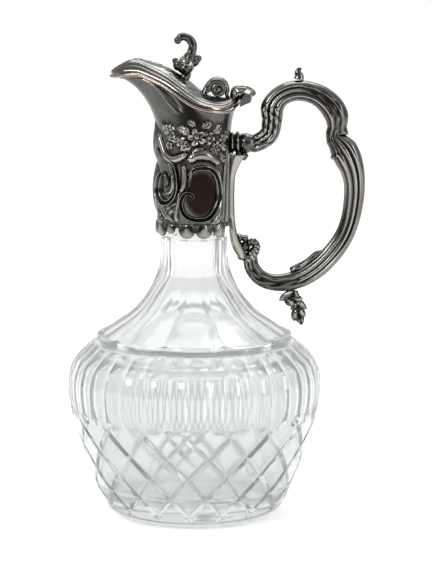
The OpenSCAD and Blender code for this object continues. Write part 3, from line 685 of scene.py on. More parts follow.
# chased work of the near side, as [angle, height over the foot, half width] lines; the far side mirrors it
chase = {
    "scroll": [[-95, 16.6, 0.8], [-91.5, 18.4, 1], [-96, 20.3, 1.15], [-103, 20, 1.3], [-109, 16, 1.4],
               [-108.5, 11, 1.4], [-101, 6.9, 1.5], [-86, 5, 1.6], [-69, 6, 1.6], [-56, 11.5, 1.6],
               [-50, 19, 1.6], [-53, 27.5, 1.5], [-63, 33.3, 1.5], [-77, 35, 1.5], [-90, 34, 1.4],
               [-97, 30.5, 1.1]],
    "front": [[-140, 23, 0.8], [-134, 25, 1], [-135, 29, 1.2], [-144, 31, 1.4], [-153, 27, 1.7],
              [-154, 20, 1.9], [-145, 15, 1.9], [-131, 14.5, 1.8], [-120, 19, 1.6], [-117.5, 27, 1.5],
              [-122, 35, 1.4], [-133, 39.5, 1.3], [-147, 41.5, 1.1], [-160, 45, 0.9]],
    "field": (-78, 20, 27, 13.6, 1.25),      # angle, height, half angle, half height, depth
    # the sunk ground behind the flowers, and the one beside the scrolls: windows of height and of angle
    "groundZ": (211, 3, 236, 4),
    "groundBow": (22, 10, 150, 12),
    "groundDepth": 0.95,
    "besideZ": (177, 5, 207, 6),
    "besideDepth": 0.6,
    "ridges": [([[-107, 37, 1.1], [-105, 32, 1.7], [-106, 26, 1.9], [-111, 20, 1.3]], 1.7),
               ([[-94, 34, 0.9], [-96.5, 29, 1.3], [-98, 23, 1.1]], 1.3),
               ([[-160, 56, 1.4], [-150, 48, 1.7], [-139, 41.6, 2.0], [-124, 39.4, 2.2], [-110, 41, 2.0],
                 [-100, 44, 1.2]], 1.8),
               ([[-100, 38, 1.6], [-88, 41.6, 3.2], [-74, 42, 3.5], [-59, 40, 2.8], [-49, 35.6, 1.5]], 2.0),
               ([[-126, 31, 0.8], [-124, 25, 1.1], [-129, 20.5, 1.1], [-138, 19.5, 0.8]], 1.2),
               ([[-42, 2, 1.3], [-40, 14, 1.4], [-38, 28, 1.4], [-32, 40, 1.3], [-24, 46, 1]], 0.95),
               ([[-31, 0, 1.4], [-30, 14, 1.3], [-28, 28, 1.3], [-24, 38, 1.1], [-18, 44, 0.9]], 0.85),
               ([[-52, 1, 1.1], [-49, 7, 1.5], [-46, 14, 1.1], [-45.5, 24, 0.8], [-50, 34, 0.8]], 1.1),
               ([[-117, 3, 1.1], [-119, 9, 1.4], [-116, 14, 1], [-112.5, 22, 0.8]], 1.0)],
    "lobes": [(49, 9.5, 11.5, 2.6), (22, 11.5, 15, 3.1)],      # height, half width, half height, relief
    "blooms": [((-86, 52.5), 5.6, 0.3), ((-67.5, 52.0), 4.3, 1.1), ((-109, 49.5), 3.6, 0.9),
               ((-127, 56.5), 3.3, 0.5), ((-131, 47.5), 2.7, 0.2), ((-53.5, 47), 3.4, 0.7),
               ((-41, 51), 3.0, 0.1)],
    "leaves": [((-94, 48), (-112, 44.5), 2.6), ((-97, 54), (-116, 58), 2.4), ((-62, 47), (-47, 38), 2.9),
               ((-60, 55), (-44, 60), 2.8), ((-112, 50), (-138, 52), 2.4), ((-76, 46), (-96, 41), 2.0),
               ((-46, 48), (-28, 46), 2.5), ((-48, 44), (-32, 37), 2.2), ((-130, 52), (-146, 60), 2.4),
               ((-76, 58), (-60, 62), 2.2), ((-86, 59), (-98, 61), 2.0), ((-36, 55), (-22, 52), 2.2),
               ((-118, 14), (-142, 4), 3.2), ((-150, 13), (-124, 4), 2.8), ((-166, 9), (-144, 1), 2.6),
               ((-62, 2), (-44, 10), 2.6)],
}


def mountRelief(t, z):
    # height of the chased work over the plain wall, and the share of brown stain
    x = -np.abs((t + 180) % 360 - 180) * arcPerDegree
    bow = x / arcPerDegree
    h = np.zeros(x.shape)
    angle, height, halfA, halfH, depth = chase["field"]
    inField = np.hypot((bow - angle) / halfA, (z - mount["foot"] - height) / halfH)
    dish = held(1 - inField ** 2) ** 0.7
    h -= depth * dish
    d, half, place = nearness(x, z, onMount(chase["scroll"], 90))
    h += 0.45 * roundOver(np.abs(d - 3.4), 0.5) * ease((0.96 - inField) / 0.1) * ease((place - 0.3) / 0.1)
    # the ground sinks behind the flowers and beside the scrolls
    band = window(z, *chase["groundZ"]) * window(-bow, *chase["groundBow"])
    h -= chase["groundDepth"] * band
    h -= chase["besideDepth"] * bump(bow, -115, 5) * window(z, *chase["besideZ"])
    # lobes at the front, over and between the scrolls, ribbed like a fan
    for height, halfW, halfH, top in chase["lobes"]:
        dx, dz = x + 180 * arcPerDegree, z - mount["foot"] - height
        inside = held(1 - (dx / halfW) ** 2 - (dz / halfH) ** 2) ** 0.8
        fan = np.cos(9 * np.arctan2(dx, dz + 1.2 * halfH)) ** 2
        h = np.maximum(h, top * inside * (1 - 0.22 * fan))
    for line, top in chase["ridges"]:
        h = np.maximum(h, ridge(x, z, line, top) + np.minimum(h, 0) * 0.3)
    for root, tip, half in chase["leaves"]:
        h = np.maximum(h, leafRelief(x, z, root, tip, half * 1.25, 3, 1.4))
    for centre, size, turn in chase["blooms"]:
        h = np.maximum(h, bloomRelief(x, z, centre, size, 5, turn, 0.7 + size * 0.27))
    stain = held(1.3 * dish ** 0.4)
    stain = np.maximum(stain, 0.7 * bump(bow, -108, 14) * bump(z, 213, 7) * (h < 0.6))
    stain = np.maximum(stain, 0.5 * bump(bow, -99, 7) * window(z, 188, 6, 209, 5))
    stain = np.maximum(stain, 0.8 * band * (1 - ease((h + 0.5) / 0.9)))
    return h, stain


def mountCollar():
    # outer wall, flange, inner wall: rings of points, the outer ones lifted by the relief
    n = mount["columns"]
    t = np.arange(n) * 360 / n
    zWall = np.linspace(mount["foot"], mount["waist"], 118)
    sFlare = np.concatenate([np.linspace(1.5, 84, 70), [86, 88, 90]])
    tw, zw = np.meshgrid(t, zWall)
    lift, stainWall = mountRelief(tw, zw)
    r = sleeveR + lift
    wall = roundPoints(r, tw, zw)
    tf, sf = np.meshgrid(t, sFlare)
    skin = flare(tf, sf)
    lift, stainFlare = mountRelief(tf, skin[..., 2])
    fading = ease((mount["chaseTop"] - sf) / 10)
    # a moulding under the wire, and two soft folds swept up to the spout
    bow = np.abs((tf + 180) % 360 - 180)
    mould = 0.35 * roundOver(np.abs(sf - 79), 2.6) - 0.3 * bump(sf, 75, 1.4)
    fold = 0.0
    for height, at, lean, width, ends in mount["folds"]:
        fold = fold + height * bump(bow, at - lean * (88 - sf), width) * window(sf, *ends)
    skin = skin + (lift * fading + mould + fold)[..., None] * flareNormal(tf, sf)
    inner = []
    for s in (90, 75, 60, 45, 30, 15):
        level = np.full(n, s)
        inner.append(flare(t, level) - mount["wall"] * flareNormal(t, level))
    inner += [roundPoints(mount["sleeveIn"], t, np.full(n, z)) for z in (225, 210, 195, 180, mount["foot"])]
    points = np.concatenate([wall, skin, np.array(inner)])
    stain = np.concatenate([stainWall.ravel(), (stainFlare * fading).ravel(), np.zeros(n * len(inner))])
    addSilver("mountCollar", [gridParts(points, 4, 0.62, True)],
              ("mount_collar", "flower_spray_near", "flower_spray_far"), sharp=60, stain=stain)


def scrollOnMount(line, steps, mirrored, tall):
    # band laid on the wall: a bright lip along its outer edge and a bead along its inner, a channel between
    p = onMount(line, steps)
    t = headings(p[:, :2])
    q = np.concatenate([-cosD(np.linspace(0, 180, 34)), [0.6, 0.0, -0.6]])[None, :]
    top = 0.5 + 0.62 * bump(q, 0.58, 0.26) + 0.22 * bump(q, -0.66, 0.2) - 0.16 * bump(q, -0.1, 0.3)
    top = top * held(1 - np.abs(q) ** 7) ** 0.5
    top[:, -3:] = 0
    half = p[:, 2:3]
    side = -half * q * 1.12
    r = ornamentR - 0.15 + tall * half * top
    angle = (p[:, :1] - side * t[:, 1:2]) / ornamentR
    z = p[:, 1:2] + side * t[:, :1]
    sign = -1 if mirrored else 1
    return xyz(r * np.cos(angle), sign * r * np.sin(angle), z)


mountCollar()
for name, node, mirrored in (("cartoucheNear", "cartouche_near", False),
                             ("cartoucheFar", "cartouche_far", True)):
    addSilver(name, [gridParts(scrollOnMount(chase["scroll"], 220, mirrored, 1.7), 3, 0.3)], (node,))
rings = [scrollOnMount(chase["front"], 200, mirrored, 1.75) for mirrored in (False, True)]
addSilver("frontScrolls", [gridParts(r, 3, 0.3) for r in rings], ("front_scrolls",))

shells = {
    "places": [48, 75, 101, 128, 149, 168, 192, 211, 232, 259, 285, 312],
    "sizes": [4.8, 5.2, 5, 3, 4.8, 4, 4, 4.8, 3, 5, 5.2, 4.8],
    "from": 26,
    "root": 0.15,
    "top": 2.4,
    "relief": 1.5,
    "ribs": 2.4,
}


def shellBorder():
    # band whose lower edge hangs in lobes: drop = size (root + root of (1 - d squared)), ribbed like a fan
    t = np.linspace(shells["from"], 360 - shells["from"], 780)
    sizes = np.array(shells["sizes"])
    places = np.array(shells["places"])
    d = np.abs(t[:, None] - places) * arcPerDegree / sizes
    drop = np.where(d < 1, sizes * (shells["root"] + np.sqrt(held(1 - d ** 2))), 0)
    nearest = d.argmin(1)
    low = mount["foot"] - drop.max(1)
    top = mount["foot"] + shells["top"]
    section = [[0, 1.0], [0.5, 1.0], [0.8, 0.96], [0.95, 0.86], [1, 0.7], [1.02, 0.52], [1.0, 0.36],
               [0.98, 0.22], [0.9, 0.12], [0.75, 0.05], [0.45, 0.0], [0, 0.0]]
    rows, dips = [], []
    beside = (t - places[nearest]) * arcPerDegree
    between = ease((d.min(1) - 0.72) / 0.3)
    for out, share in section:
        z = mix(low, top, share)
        fan = np.arctan2(beside, np.maximum(mount["foot"] + 4.5 - z, 0.5))
        rib = np.abs(np.sin(fan * shells["ribs"] + math.pi / 2)) ** 0.8
        r = ornamentR + shells["relief"] * out * (1 - 0.5 * (1 - rib) - 0.3 * between)
        rows.append(roundPoints(r, t, z))
        dips.append(held(0.28 + 0.42 * (1 - rib) + 0.3 * between))
    flat, faces, hollow = gridParts(np.stack(rows, 1), 2, 0.3)
    hollow = np.concatenate([np.stack(dips, 1).ravel(), [0.5, 0.5]])
    addSilver("shellBorder", [(flat, faces, hollow)], ("shell_border",))


shellBorder()


def rimWire():
    # round wire on the mouth's edge: a circle carried along it, square to the edge's outward direction
    t = np.linspace(30, 330, 301)
    edge = np.full(301, 90.0)
    way = flare(t + 1, edge) - flare(t - 1, edge)
    out = unit(np.stack([way[:, 1], -way[:, 0]], -1))
    off = np.concatenate([out * (mount["wireR"] + 0.25), np.full((301, 1), mount["wall"] / 2)], -1)
    f = fullTurn(16)[..., None]
    ring = np.concatenate([out[:, None, :] * np.cos(f), np.sin(f) + np.zeros((301, 16, 1))], -1)
    points = (flare(t, edge) + off)[:, None, :] + mount["wireR"] * ring
    addGrids("rimWire", [gridParts(points, 2, 0.3)], "jug", brightSilver, ("rim_wire",))


rimWire()

strap = {
    "line": [[5.2, 40.6, 1.7], [2.9, 36.6, 1.5], [0.6, 30, 1.15], [0, 22, 1], [0.2, 4, 1],
             [1.6, -7, 1.2], [4.9, -15.4, 1.5], [6.8, -19.5, 1.3]],
    "back": [[-21, 26.6], [-19.5, 26.0], [-14, 22.6], [-8, 20.8], [-2, 20.3], [1, 20.2], [6, 19.9],
             [42, 19.9]],
    "thick": 2.0,
    "half": 6.0,
    "flutes": (-3.7, 0.0, 3.7),
}


def backStrap():
    # band down the back of the mount, with three round flutes, its ends spread a little
    u = np.linspace(0, 1, 150)
    p = along(strap["line"], u)
    face = np.stack([ornamentR + p[:, 0] + strap["thick"] * p[:, 2], mount["foot"] + p[:, 1]], -1)
    back = np.stack([through(strap["back"], p[:, 1]), mount["foot"] + p[:, 1]], -1)
    v = -cosD(np.linspace(0, 180, 61))[None, :]
    half = strap["half"] * (1 - 0.16 * np.sin(math.pi * u))[:, None]
    y = half * v
    dip = 0.0
    for c in strap["flutes"]:
        dip = dip + roundOver(np.abs(y - c * half / strap["half"]), 1.5)
    edge = 0.9 * (1 - held(1 - np.abs(v) ** 6) ** 0.5)
    sink = 0.75 * dip * ease(u * 12)[:, None] + edge
    front = xyz(face[:, :1] - sink, y, face[:, 1:2] + 0 * y)
    wide = 1 + 0.38 * ease((p[:, 1:2] - 1) / 5)
    w = np.linspace(0.98, -0.98, 12)[None, :]
    rear = xyz(back[:, :1] + 0 * w, half * wide * w, back[:, 1:2] + 0 * w)
    addSilver("backStrap", [gridParts(np.concatenate([front, rear], 1), 3, 0.4)], ("back_strap",))


backStrap()
print("mount ready")

# handle

handle = {
    "reach": 71.8,
    "socketL": 8.5,
    "socketZ": 218.5,
    "depth": 0.92,
    "line": [[0.118, 0, 4.2], [0.16, 0, 4.5], [0.2, -0.4, 5.2], [0.305, 4.7, 5.6], [0.33, 13.2, 6],
             [0.332, 20, 6.8], [0.38, 25.7, 6.1], [0.467, 29.3, 6.0], [0.571, 30.1, 6.0], [0.686, 28, 6.3],
             [0.781, 23.2, 6.9], [0.845, 16.5, 7.1], [0.854, 9.5, 5.9], [0.833, 4, 4.9], [0.884, -2, 7],
             [0.94, -8.5, 8], [0.982, -16, 7], [1, -24.5, 6.2], [0.994, -34.5, 5.9], [0.966, -45.5, 5.6],
             [0.912, -55.5, 5.6], [0.821, -65, 5.8], [0.695, -73.8, 5.9], [0.545, -80, 5.6],
             [0.376, -82.2, 5], [0.243, -79.4, 4.7], [0.175, -73.6, 4.5], [0.16, -69.3, 4.3],
             [0.16, -67.5, 4.2]],
    "grooves": [(0.36, 0.09, 0.2), (-0.16, 0.08, 0.1), (-0.7, 0.08, 0.08)],     # face, width, depth
    "rolls": [(0.72, 0.14, 0.05), (0.1, 0.12, 0.06), (-0.45, 0.12, 0.05)],      # face, width, height
    # place, width, height, and the face it shows on: outside where positive, inside where negative
    "swells": [(12.3, 0.17, 2.4, 3), (12.95, 0.3, -2.6, 3), (14.3, 0.5, 0.9, 3), (14.4, 0.16, 1.3, -3),
               (13.3, 0.14, 0.5, -2)],
    # windows of the line where slanting ribs take over
    "crestRibs": (7.6, 0.8, 12.9, 0.7),
    "curlRibs": (22.6, 0.6, 26.5, 0.8),
    "rootRibs": (1.2, 0.5, 5.6, 0.8),
    "fineRibs": (15, 1.5, 22, 1.5),
    "crest": [[0, 0, 3.2], [0.3, 2, 2.7], [-0.3, 4.2, 2], [0.5, 5.9, 1.4], [1.6, 5.8, 0.9]],
    "crestAt": (7.75, 0.3),      # place on the line, distance outside its face
    "drop": [[0, 0, 3.6, 3.6], [-0.6, -4.4, 5.4, 8.4], [1.2, -7.5, 5.4, 4.6], [2.2, -9.3, 5.6, 4.2],
             [2.6, -14, 5.6, 5.8], [4, -18, 3.2, 3.2], [4.4, -20.5, 0.6, 0.6]],
    "dropAt": (23.3, 0.2),
    "inner": [(20.8, 0.0, 1.0), (21.4, 0.2, 1.7), (22.0, 0.5, 2.0), (22.6, 0.8, 2.1), (23.0, 1.0, 2.0),
              (23.25, 1.1, 1.7)],      # place on the line, distance inside its face, half width
}
handlePath = [[sleeveR + max(s * handle["reach"], handle["socketL"]), handle["socketZ"] + dz, half]
              for s, dz, half in handle["line"]]
lastBend = len(handlePath) - 1


def handleEdge(i, off):
    # point beside the handle's middle line, off outside its face; positive lies outside the loop
    p, b, a = (along(handlePath, np.array([k / lastBend]))[0] for k in (i, i - 0.2, i + 0.2))
    t = unit(np.array([a[0] - b[0], a[1] - b[1]]))
    s = np.sign(off) * p[2] + off
    return np.array([p[0] - t[1] * s, p[1] + t[0] * s])


def slantRibs(place, face, perPlace, perFace):
    # squared cosine of place and face together: ribs that run aslant
    return np.cos(2 * math.pi * (perPlace * place + perFace * face)) ** 2


def handleBar():
    # an ellipse swept along the line; grooves and rolls are bumps of its face, which is +1 outside the loop
    # and -1 inside, and where a leaf lies on it, slanting ribs take over from them
    u, p, t = course(handlePath, 900)
    place = u * lastBend
    f = -fullTurn(96)
    face = np.cos(f)
    cut = 0.0
    for at, width, depth in handle["grooves"]:
        cut = cut + depth * bump(face, at, width)
    for at, width, height in handle["rolls"]:
        cut = cut - height * bump(face, at, width)
    leafy = window(place, *handle["crestRibs"]) * ease((face + 0.35) / 0.3)
    curl = window(place, *handle["curlRibs"]) * ease((face + 0.7) / 0.3)
    thumb = window(place, *handle["rootRibs"])
    cut = mix(cut, 0.045 * slantRibs(place, face, 0.5, 0.6) + 0.08 * bump(face, 0.3, 0.12), leafy)
    cut = mix(cut, 0.05 * slantRibs(place, face, 0.5, -0.6) + 0.07 * bump(face, -0.2, 0.12), curl)
    cut = cut + 0.07 * thumb * slantRibs(place, face, 0.75, -0.45)
    cross = bump(place, 4.55 + 0.6 * face, 0.13) + bump(place, 2.4 - 0.5 * face, 0.12)
    cut = cut + 0.12 * cross * ease(np.abs(np.sin(f)) * 2)
    cut = cut + 0.05 * slantRibs(place, face, 0, 3.2) * window(place, *handle["fineRibs"])
    half = p[:, 2:3]
    for at, width, height, side in handle["swells"]:
        half = half + height * bump(place, at, width) * ease(face * side)
    out = half * face * (1 - 0.35 * np.clip(cut, -0.2, 1))
    across = p[:, 2:3] * handle["depth"] * np.sin(f) * (1 - 0.22 * np.abs(np.sin(f)) ** 6)
    return sweepRings(p[:, :2], t, (out, across * (1 - 1.15 * cut)))


def leafBlade(path, start, thick, notches, depth):
    # flat leaf on a path of [x, z, left, right]: the edge grows to each notch and drops back; ribs run to it
    u, p, t = course(path, 220)
    f = fullTurn(44)
    q = np.cos(f)
    saw = (u * notches + 0.12 * np.abs(q)) % 1
    lobe = 1 - depth * (1 - saw ** 1.6) * np.abs(q)
    out = np.where(q > 0, p[:, 2:3], p[:, 3:4]) * q * lobe
    rib = np.cos(math.pi * (u * notches - 0.7 * np.abs(q))) ** 2
    low = np.minimum(p[:, 2:3], p[:, 3:4]) / max(p[:, 2].max(), p[:, 3].max())
    across = thick * (0.35 + 0.65 * low ** 0.5) * np.sin(f) * (0.7 + 0.3 * rib - 0.22 * bump(q, 0, 0.14))
    rings = sweepRings(p[:, :2], t, (out, across))
    return rings + np.array([start[0], 0, start[1]])


def tube(path, start, squash, steps=90, ribs=0, deep=0.0):
    # round section on a path of [x, z, half], closed and rounded at both ends, with ribs across its length
    u, p, t = course(path, steps)
    f = fullTurn(30)
    end = held(1 - (np.abs(u - 0.5) * 2) ** 14) ** 0.5
    half = p[:, 2:3] * (0.05 + 0.95 * end)
    half = half * (1 - deep * np.cos(math.pi * (ribs * u - 0.5 * np.cos(f))) ** 2)
    rings = sweepRings(p[:, :2], t, (half * np.cos(f), squash * half * np.sin(f)))
    return gridParts(rings + np.array([start[0], 0, start[1]]))


def knob(centre, radius, ribs, deep, squash=1.0, turn=0.0):
    # ball with ribs running over it like a shell: the radius dips by |sine| cubed of the angle round
    a = np.linspace(0.02, math.pi - 0.02, 26)[:, None]
    b = fullTurn(64)
    r = radius * (1 - deep * np.abs(np.sin(ribs * b / 2 + turn)) ** 3 * np.sin(a))
    side, up, forth = r * np.sin(a) * np.cos(b), r * np.sin(a) * np.sin(b), r * np.cos(a)
    x = side * math.cos(turn) - up * math.sin(turn)
    z = side * math.sin(turn) + up * math.cos(turn)
    return gridParts(xyz(centre[0] + x, centre[1] + squash * forth, centre[2] + z), 2, 0.2)


addSilver("handleBar", [gridParts(handleBar(), 3, 0.35)], ("handle",))
addSilver("handleCrestLeaf", [tube(handle["crest"], handleEdge(*handle["crestAt"]), 0.8)],
          ("handle_crest_leaf",))
drop = leafBlade(handle["drop"], handleEdge(*handle["dropAt"]), 2.8, 5, 0.32)
addSilver("handleDropLeaf", [gridParts(drop, 3, 0.3)], ("handle_drop_leaf",))
inner = [[*handleEdge(place, -off), half] for place, off, half in handle["inner"]]
addSilver("handleInnerLeaf", [tube(inner, (0, 0), 1.3, 120, 3, 0.12)], ("handle_inner_leaf",))

socket = {
    "profile": [[21.3, 5.6], [21.9, 6.2], [22.6, 6], [23, 5.3], [23.5, 5], [24, 5.6], [24.6, 6.4],
                [25.3, 6.7], [26, 6.3], [26.5, 5.2], [27, 4.6], [27.6, 5.2], [28.2, 5.4], [28.9, 5.2],
                [29.6, 4.6], [30.4, 4.4]],
    "ball": (30.6, 0, 218.4, 6.2),
    "buds": [(28.7, 0, 210.8, 2.9), (26.0, 1.8, 212.0, 2.2), (26.0, -1.8, 212.0, 2.2)],
}


def handleSocket():
    # turned collar along X with the ball that the handle's root curls round, and the buds under it
    profile = socket["profile"]
    x = np.linspace(profile[0][0], profile[-1][0], 70)[:, None]
    r = through(profile, x)
    a = fullTurn(60)
    rings = xyz(x + 0 * a, r * np.cos(a), handle["socketZ"] + r * np.sin(a))
    *centre, radius = socket["ball"]
    parts = [gridParts(rings), knob(centre, radius, 3, 0.12, 0.98, 0.6)]
    parts += [knob(centre, radius, 5, 0.16) for *centre, radius in socket["buds"]]
    addSilver("handleSocket", parts, ("handle_socket",))


handleSocket()

bracket = {
    # x, y, z, radius, ribs, width
    "knobs": [(26.6, 0, 163.0, 2.5, 3, 1.5), (25.6, 0, 158.4, 2.9, 3, 1.6), (29.4, 0, 162.6, 2.4, 3, 1.5),
              (29.4, 0, 157.6, 3.2, 4, 1.5), (28.0, 0, 152.0, 3.0, 3, 1.5)],
    "curl": [[30.6, 148.5, 3.6], [33.4, 152.6, 3.9], [35.4, 155.4, 3.2], [36.2, 158.4, 2.5],
             [34.4, 160.8, 2.2], [32.2, 159.8, 2.0], [32.8, 157.6, 1.4]],
}


def handleBracket():
    # heap of ribbed lobes, each turned a little further, and the curl that meets the handle's foot
    parts = [knob(centre, radius, ribs, 0.15, wide, 0.5 + 0.9 * k)
             for k, (*centre, radius, ribs, wide) in enumerate(bracket["knobs"])]
    parts.append(tube(bracket["curl"], (0, 0), 1.25, 140, 9, 0.12))
    addSilver("handleBracket", parts, ("handle_bracket",))


handleBracket()
print("handle ready")

# lid

lidCast = {
    "wall": 1.5,
    "edgeH": 1.2,
    "gap": 0.3,
    "over": 1.7,
    "crown": [[-1, 0.6], [-0.77, 5], [-0.56, 6.2], [-0.32, 7.2], [-0.09, 8.8], [0.04, 9.2], [0.2, 9],
              [0.37, 6.6], [0.55, 4.8], [0.83, 4.4], [1, 2]],
    "mouldings": [(1.1, 0.8, 0.3), (3.6, 1.2, 0.35), (2.3, 0.5, -0.3), (5.2, 0.7, -0.3)],
    "domePower": 2.2,
    "sweepX": (-22, 6, 8, 5),
    "leafX": (-35, 17),      # where the leaf starts, and its length
    "leafHalf": 3.1,
    "leafH": 1.15,
    "leafTeeth": 5,
    "from": 12,
    "to": 173,
    "finialT": 83,
}


def lidOver(t):
    # the lid's edge is the mouth's, widened by an overhang that grows away from the hinge
    return lidCast["over"] * ease((np.asarray(t) - 20) / 25)


def lidX(t):
    return mouthMid + (mouthHalfL + lidOver(t)) * cosD(t)


def lidY(t):
    return mouthY(t) * (1 + lidOver(t) / mount["mouthHalfW"])


def lidSeat(t):
    # underside of the lid's edge: the mouth, half its wall, the wire and the gap
    return mouthZ(t) + mount["wall"] / 2 + mount["wireR"] + lidCast["gap"]


def lidTop(t):
    # the lid's crest: its seat, its edge and the crown at cosine of the angle
    return lidSeat(t) + lidCast["edgeH"] + through(lidCast["crown"], cosD(t))


def lidShell():
    # cross sections from the hinge to the spout, domed by 1 - across to a power, with mouldings along the
    # edge and a low toothed leaf along the crest towards the spout
    t = np.linspace(lidCast["from"], lidCast["to"], 260)[:, None]
    j = -cosD(np.linspace(0, 180, 121))[None, :]
    y = lidY(t)
    seat = lidSeat(t)
    crown = through(lidCast["crown"], cosD(t))
    fromEdge = (1 - np.abs(j)) * y
    mould = 0.0
    for at, width, height in lidCast["mouldings"]:
        mould = mould + height * bump(fromEdge, at, width)
    mould = 0.65 * mould * ease(y / 4)
    x = lidX(t) + 0 * j
    across = np.abs(j) * y
    sweep = 0.1 * np.sin(x * 0.9 + across * 0.9) * ease((fromEdge - 5.5) / 2) * window(x, *lidCast["sweepX"])
    start, length = lidCast["leafX"]
    u = held((x - start) / length)
    tooth = 0.72 + 0.28 * ((u * lidCast["leafTeeth"]) % 1)
    edge = lidCast["leafHalf"] * np.sin(math.pi * u) ** 0.7 * tooth
    inEdge = held(1 - (across / np.maximum(edge, 0.05)) ** 2)
    leaf = lidCast["leafH"] * inEdge ** 0.5 * np.sin(math.pi * u) ** 0.4
    leaf = leaf * (0.8 + 0.2 * np.cos(math.pi * (10 * u - across * 0.8)))
    z = seat + lidCast["edgeH"] + crown * (1 - np.abs(j) ** lidCast["domePower"]) + mould + sweep + leaf
    top = xyz(x, j * y, z)
    yIn = np.maximum(0.3 * y, y - 1.3 * lidCast["wall"])
    hIn = np.maximum(0.2, crown + lidCast["edgeH"] - lidCast["wall"])
    k = -cosD(np.linspace(172.5, 7.5, 45))[None, :]
    q = k / np.max(k)
    under = xyz(lidX(t) + 0 * k, q * yIn, seat + hIn * (1 - np.abs(q) ** lidCast["domePower"]))
    rims = [xyz(lidX(t), s * y, seat + 0.05 + 0 * y) for s in (1, -1)]
    points = np.concatenate([top, rims[0], under, rims[1]], 1)
    addSilver("lidShell", [gridParts(points, 4, 0.5)], ("lid",), "lid_assembly", 60)


lidShell()

volute = {
    "at": 52,
    "size": 6.8,
    "half": 4.0,
    "turns": 470,
    "start": 0.85,           # radius at the outer end and its fall in one turn, over the size
    "pitch": 0.46,
    "thick": (0.19, 0.13),
    "core": 2.9,
    "coreStart": 0.80,
    "wave": [[-10.2, -4.6, 0.9], [-8.2, -2.6, 1.5], [-6.2, 1.2, 1.5], [-3.4, 4.8, 1.4], [0.6, 6.0, 1.3],
             [4.4, 4.0, 1.3], [5.9, 0, 1.2], [5.4, -3.4, 1.1], [7.0, -5.4, 0.8]],
}


def lidVolute():
    # ribbon wound inwards round a folded core: r = size (start - pitch a / 360), and thinner as a grows
    size, pitch = volute["size"], volute["pitch"]
    a = np.linspace(0, volute["turns"], 260)
    r = size * (volute["start"] - pitch * a / 360)
    thick = size * mix(*volute["thick"], a / volute["turns"])
    way = np.radians(200 - a)
    # the ribbon is lowest at a = 290, and stands just over the lid there
    drop = size * (volute["start"] - pitch * 290 / 360) + size * volute["thick"][1]
    centre = (float(lidX(volute["at"])), float(lidTop(volute["at"])) + drop + 0.4)
    f = fullTurn(52)
    cf, sf = np.cos(f), np.sin(f)
    out = thick[:, None] * 1.1 * np.sign(cf) * np.abs(cf) ** 0.45
    across = volute["half"] * np.sign(sf) * np.abs(sf) ** 0.35
    taper = mix(1, 0.8, a / volute["turns"])[:, None]
    groove = 0.35 * (bump(across, 1.7, 0.55) + bump(across, -1.7, 0.55)) * (out > 0)
    radius = r[:, None] + out - groove
    band = xyz(centre[0] + radius * np.cos(way)[:, None], across * taper,
               centre[1] + radius * np.sin(way)[:, None])
    b = fullTurn(72)
    grow = np.linspace(0.05, 1, 12)
    w = np.concatenate([grow, np.ones(4), np.linspace(1, 0.05, 12)[1:]])[:, None]
    deep = volute["core"]
    y = np.concatenate([np.full(12, -deep), np.linspace(-deep, deep, 5)[1:], np.full(11, deep)])[:, None]
    turned = (np.degrees(-b) + 200 + 720) % 360
    ring = size * (volute["coreStart"] - pitch * turned / 360) * 0.9 * w
    fold = 0.3 * np.sin(2 * math.pi * (ring / 2.8 + b / (2 * math.pi))) * (np.abs(y) > deep - 0.1)
    core = xyz(centre[0] + ring * np.cos(b), np.sign(y) * fold * (w < 0.95) + y,
               centre[1] + ring * np.sin(b))
    parts = [gridParts(band), gridParts(core, 2, 0.3), tube(volute["wave"], centre, 2.4, 120)]
    addSilver("lidVolute", parts, ("lid_volute",), "lid_assembly")


lidVolute()

tail = {
    "hinge": (30.4, 244.5),
    "root": 36,
    "crest": [[-8, 5.4, 6.6], [-4.5, 7, 7.2], [0, 6.6, 6.6], [3.8, 4.4, 5.2], [5.4, 1.7, 3.6]],
    "deep": [[0, 2.4], [0.2, 4.4], [0.4, 4.8], [0.6, 3.3], [0.8, 2.7], [1, 1.5]],
    "flutes": 5,
}


def lidTail():
    # leaf over the hinge: crest less shares of across to the powers 2 and 6, with flutes and a toothed tip
    hx, hz = tail["hinge"]
    root = [float(lidX(tail["root"])), float(lidTop(tail["root"])) - 0.3, 5.0]
    line = [root] + [[hx + x, hz + z, half] for x, z, half in tail["crest"]]
    u, p, t = course(line, 110)

    def skin(v, sunk, narrow):
        rise = 0.55 * np.cos(tail["flutes"] * math.pi * v) * ease(u * 5) - 0.9 * v ** 2 - 1.6 * v ** 6 - sunk
        tooth = 0.7 * np.abs(np.cos(tail["flutes"] * math.pi * v / 2)) * ease((u - 0.8) / 0.2)
        rings = sweepRings(p, t, (rise, p[:, 2:3] * v * narrow))
        rings[..., [0, 2]] -= t[:, None, :] * tooth[..., None]
        return rings

    v = np.linspace(-1, 1, 61)[None, :]
    lower = skin(v[:, ::-1][:, 1:-1], through(tail["deep"], u), 0.97)
    points = np.concatenate([skin(v, 0, 1), lower], 1)
    addSilver("lidTail", [gridParts(points, 3, 0.35)], ("lid_tail_leaf",), "lid_assembly")


lidTail()

finial = {
    "line": [[0.9, 4.2, 3.6], [1, 6.4, 5.0], [1.8, 8.6, 4.8], [3.0, 10.8, 3.1], [4.3, 14, 2.7],
             [4.5, 17.2, 2.6], [2.4, 20.1, 2.5], [-0.8, 21.2, 2.4], [-3.4, 20.2, 2.1], [-4.2, 18.8, 1.3]],
    "stretch": 26 / 23.5,
    "angle": 0.4,
    # x, z, radius, ribs, their depth
    "knobs": [(-4.0, 19.2, 2.2, 0, 0), (-3.8, 6.4, 3.3, 3, 0.1), (5.4, 8.2, 3.3, 3, 0.1),
              (0.6, 5.2, 5.0, 4, 0.12), (7.6, 9.8, 2.2, 0, 0), (2.6, 10.0, 4.0, 4, 0.1),
              (-5.4, 8.6, 1.9, 0, 0)],
}


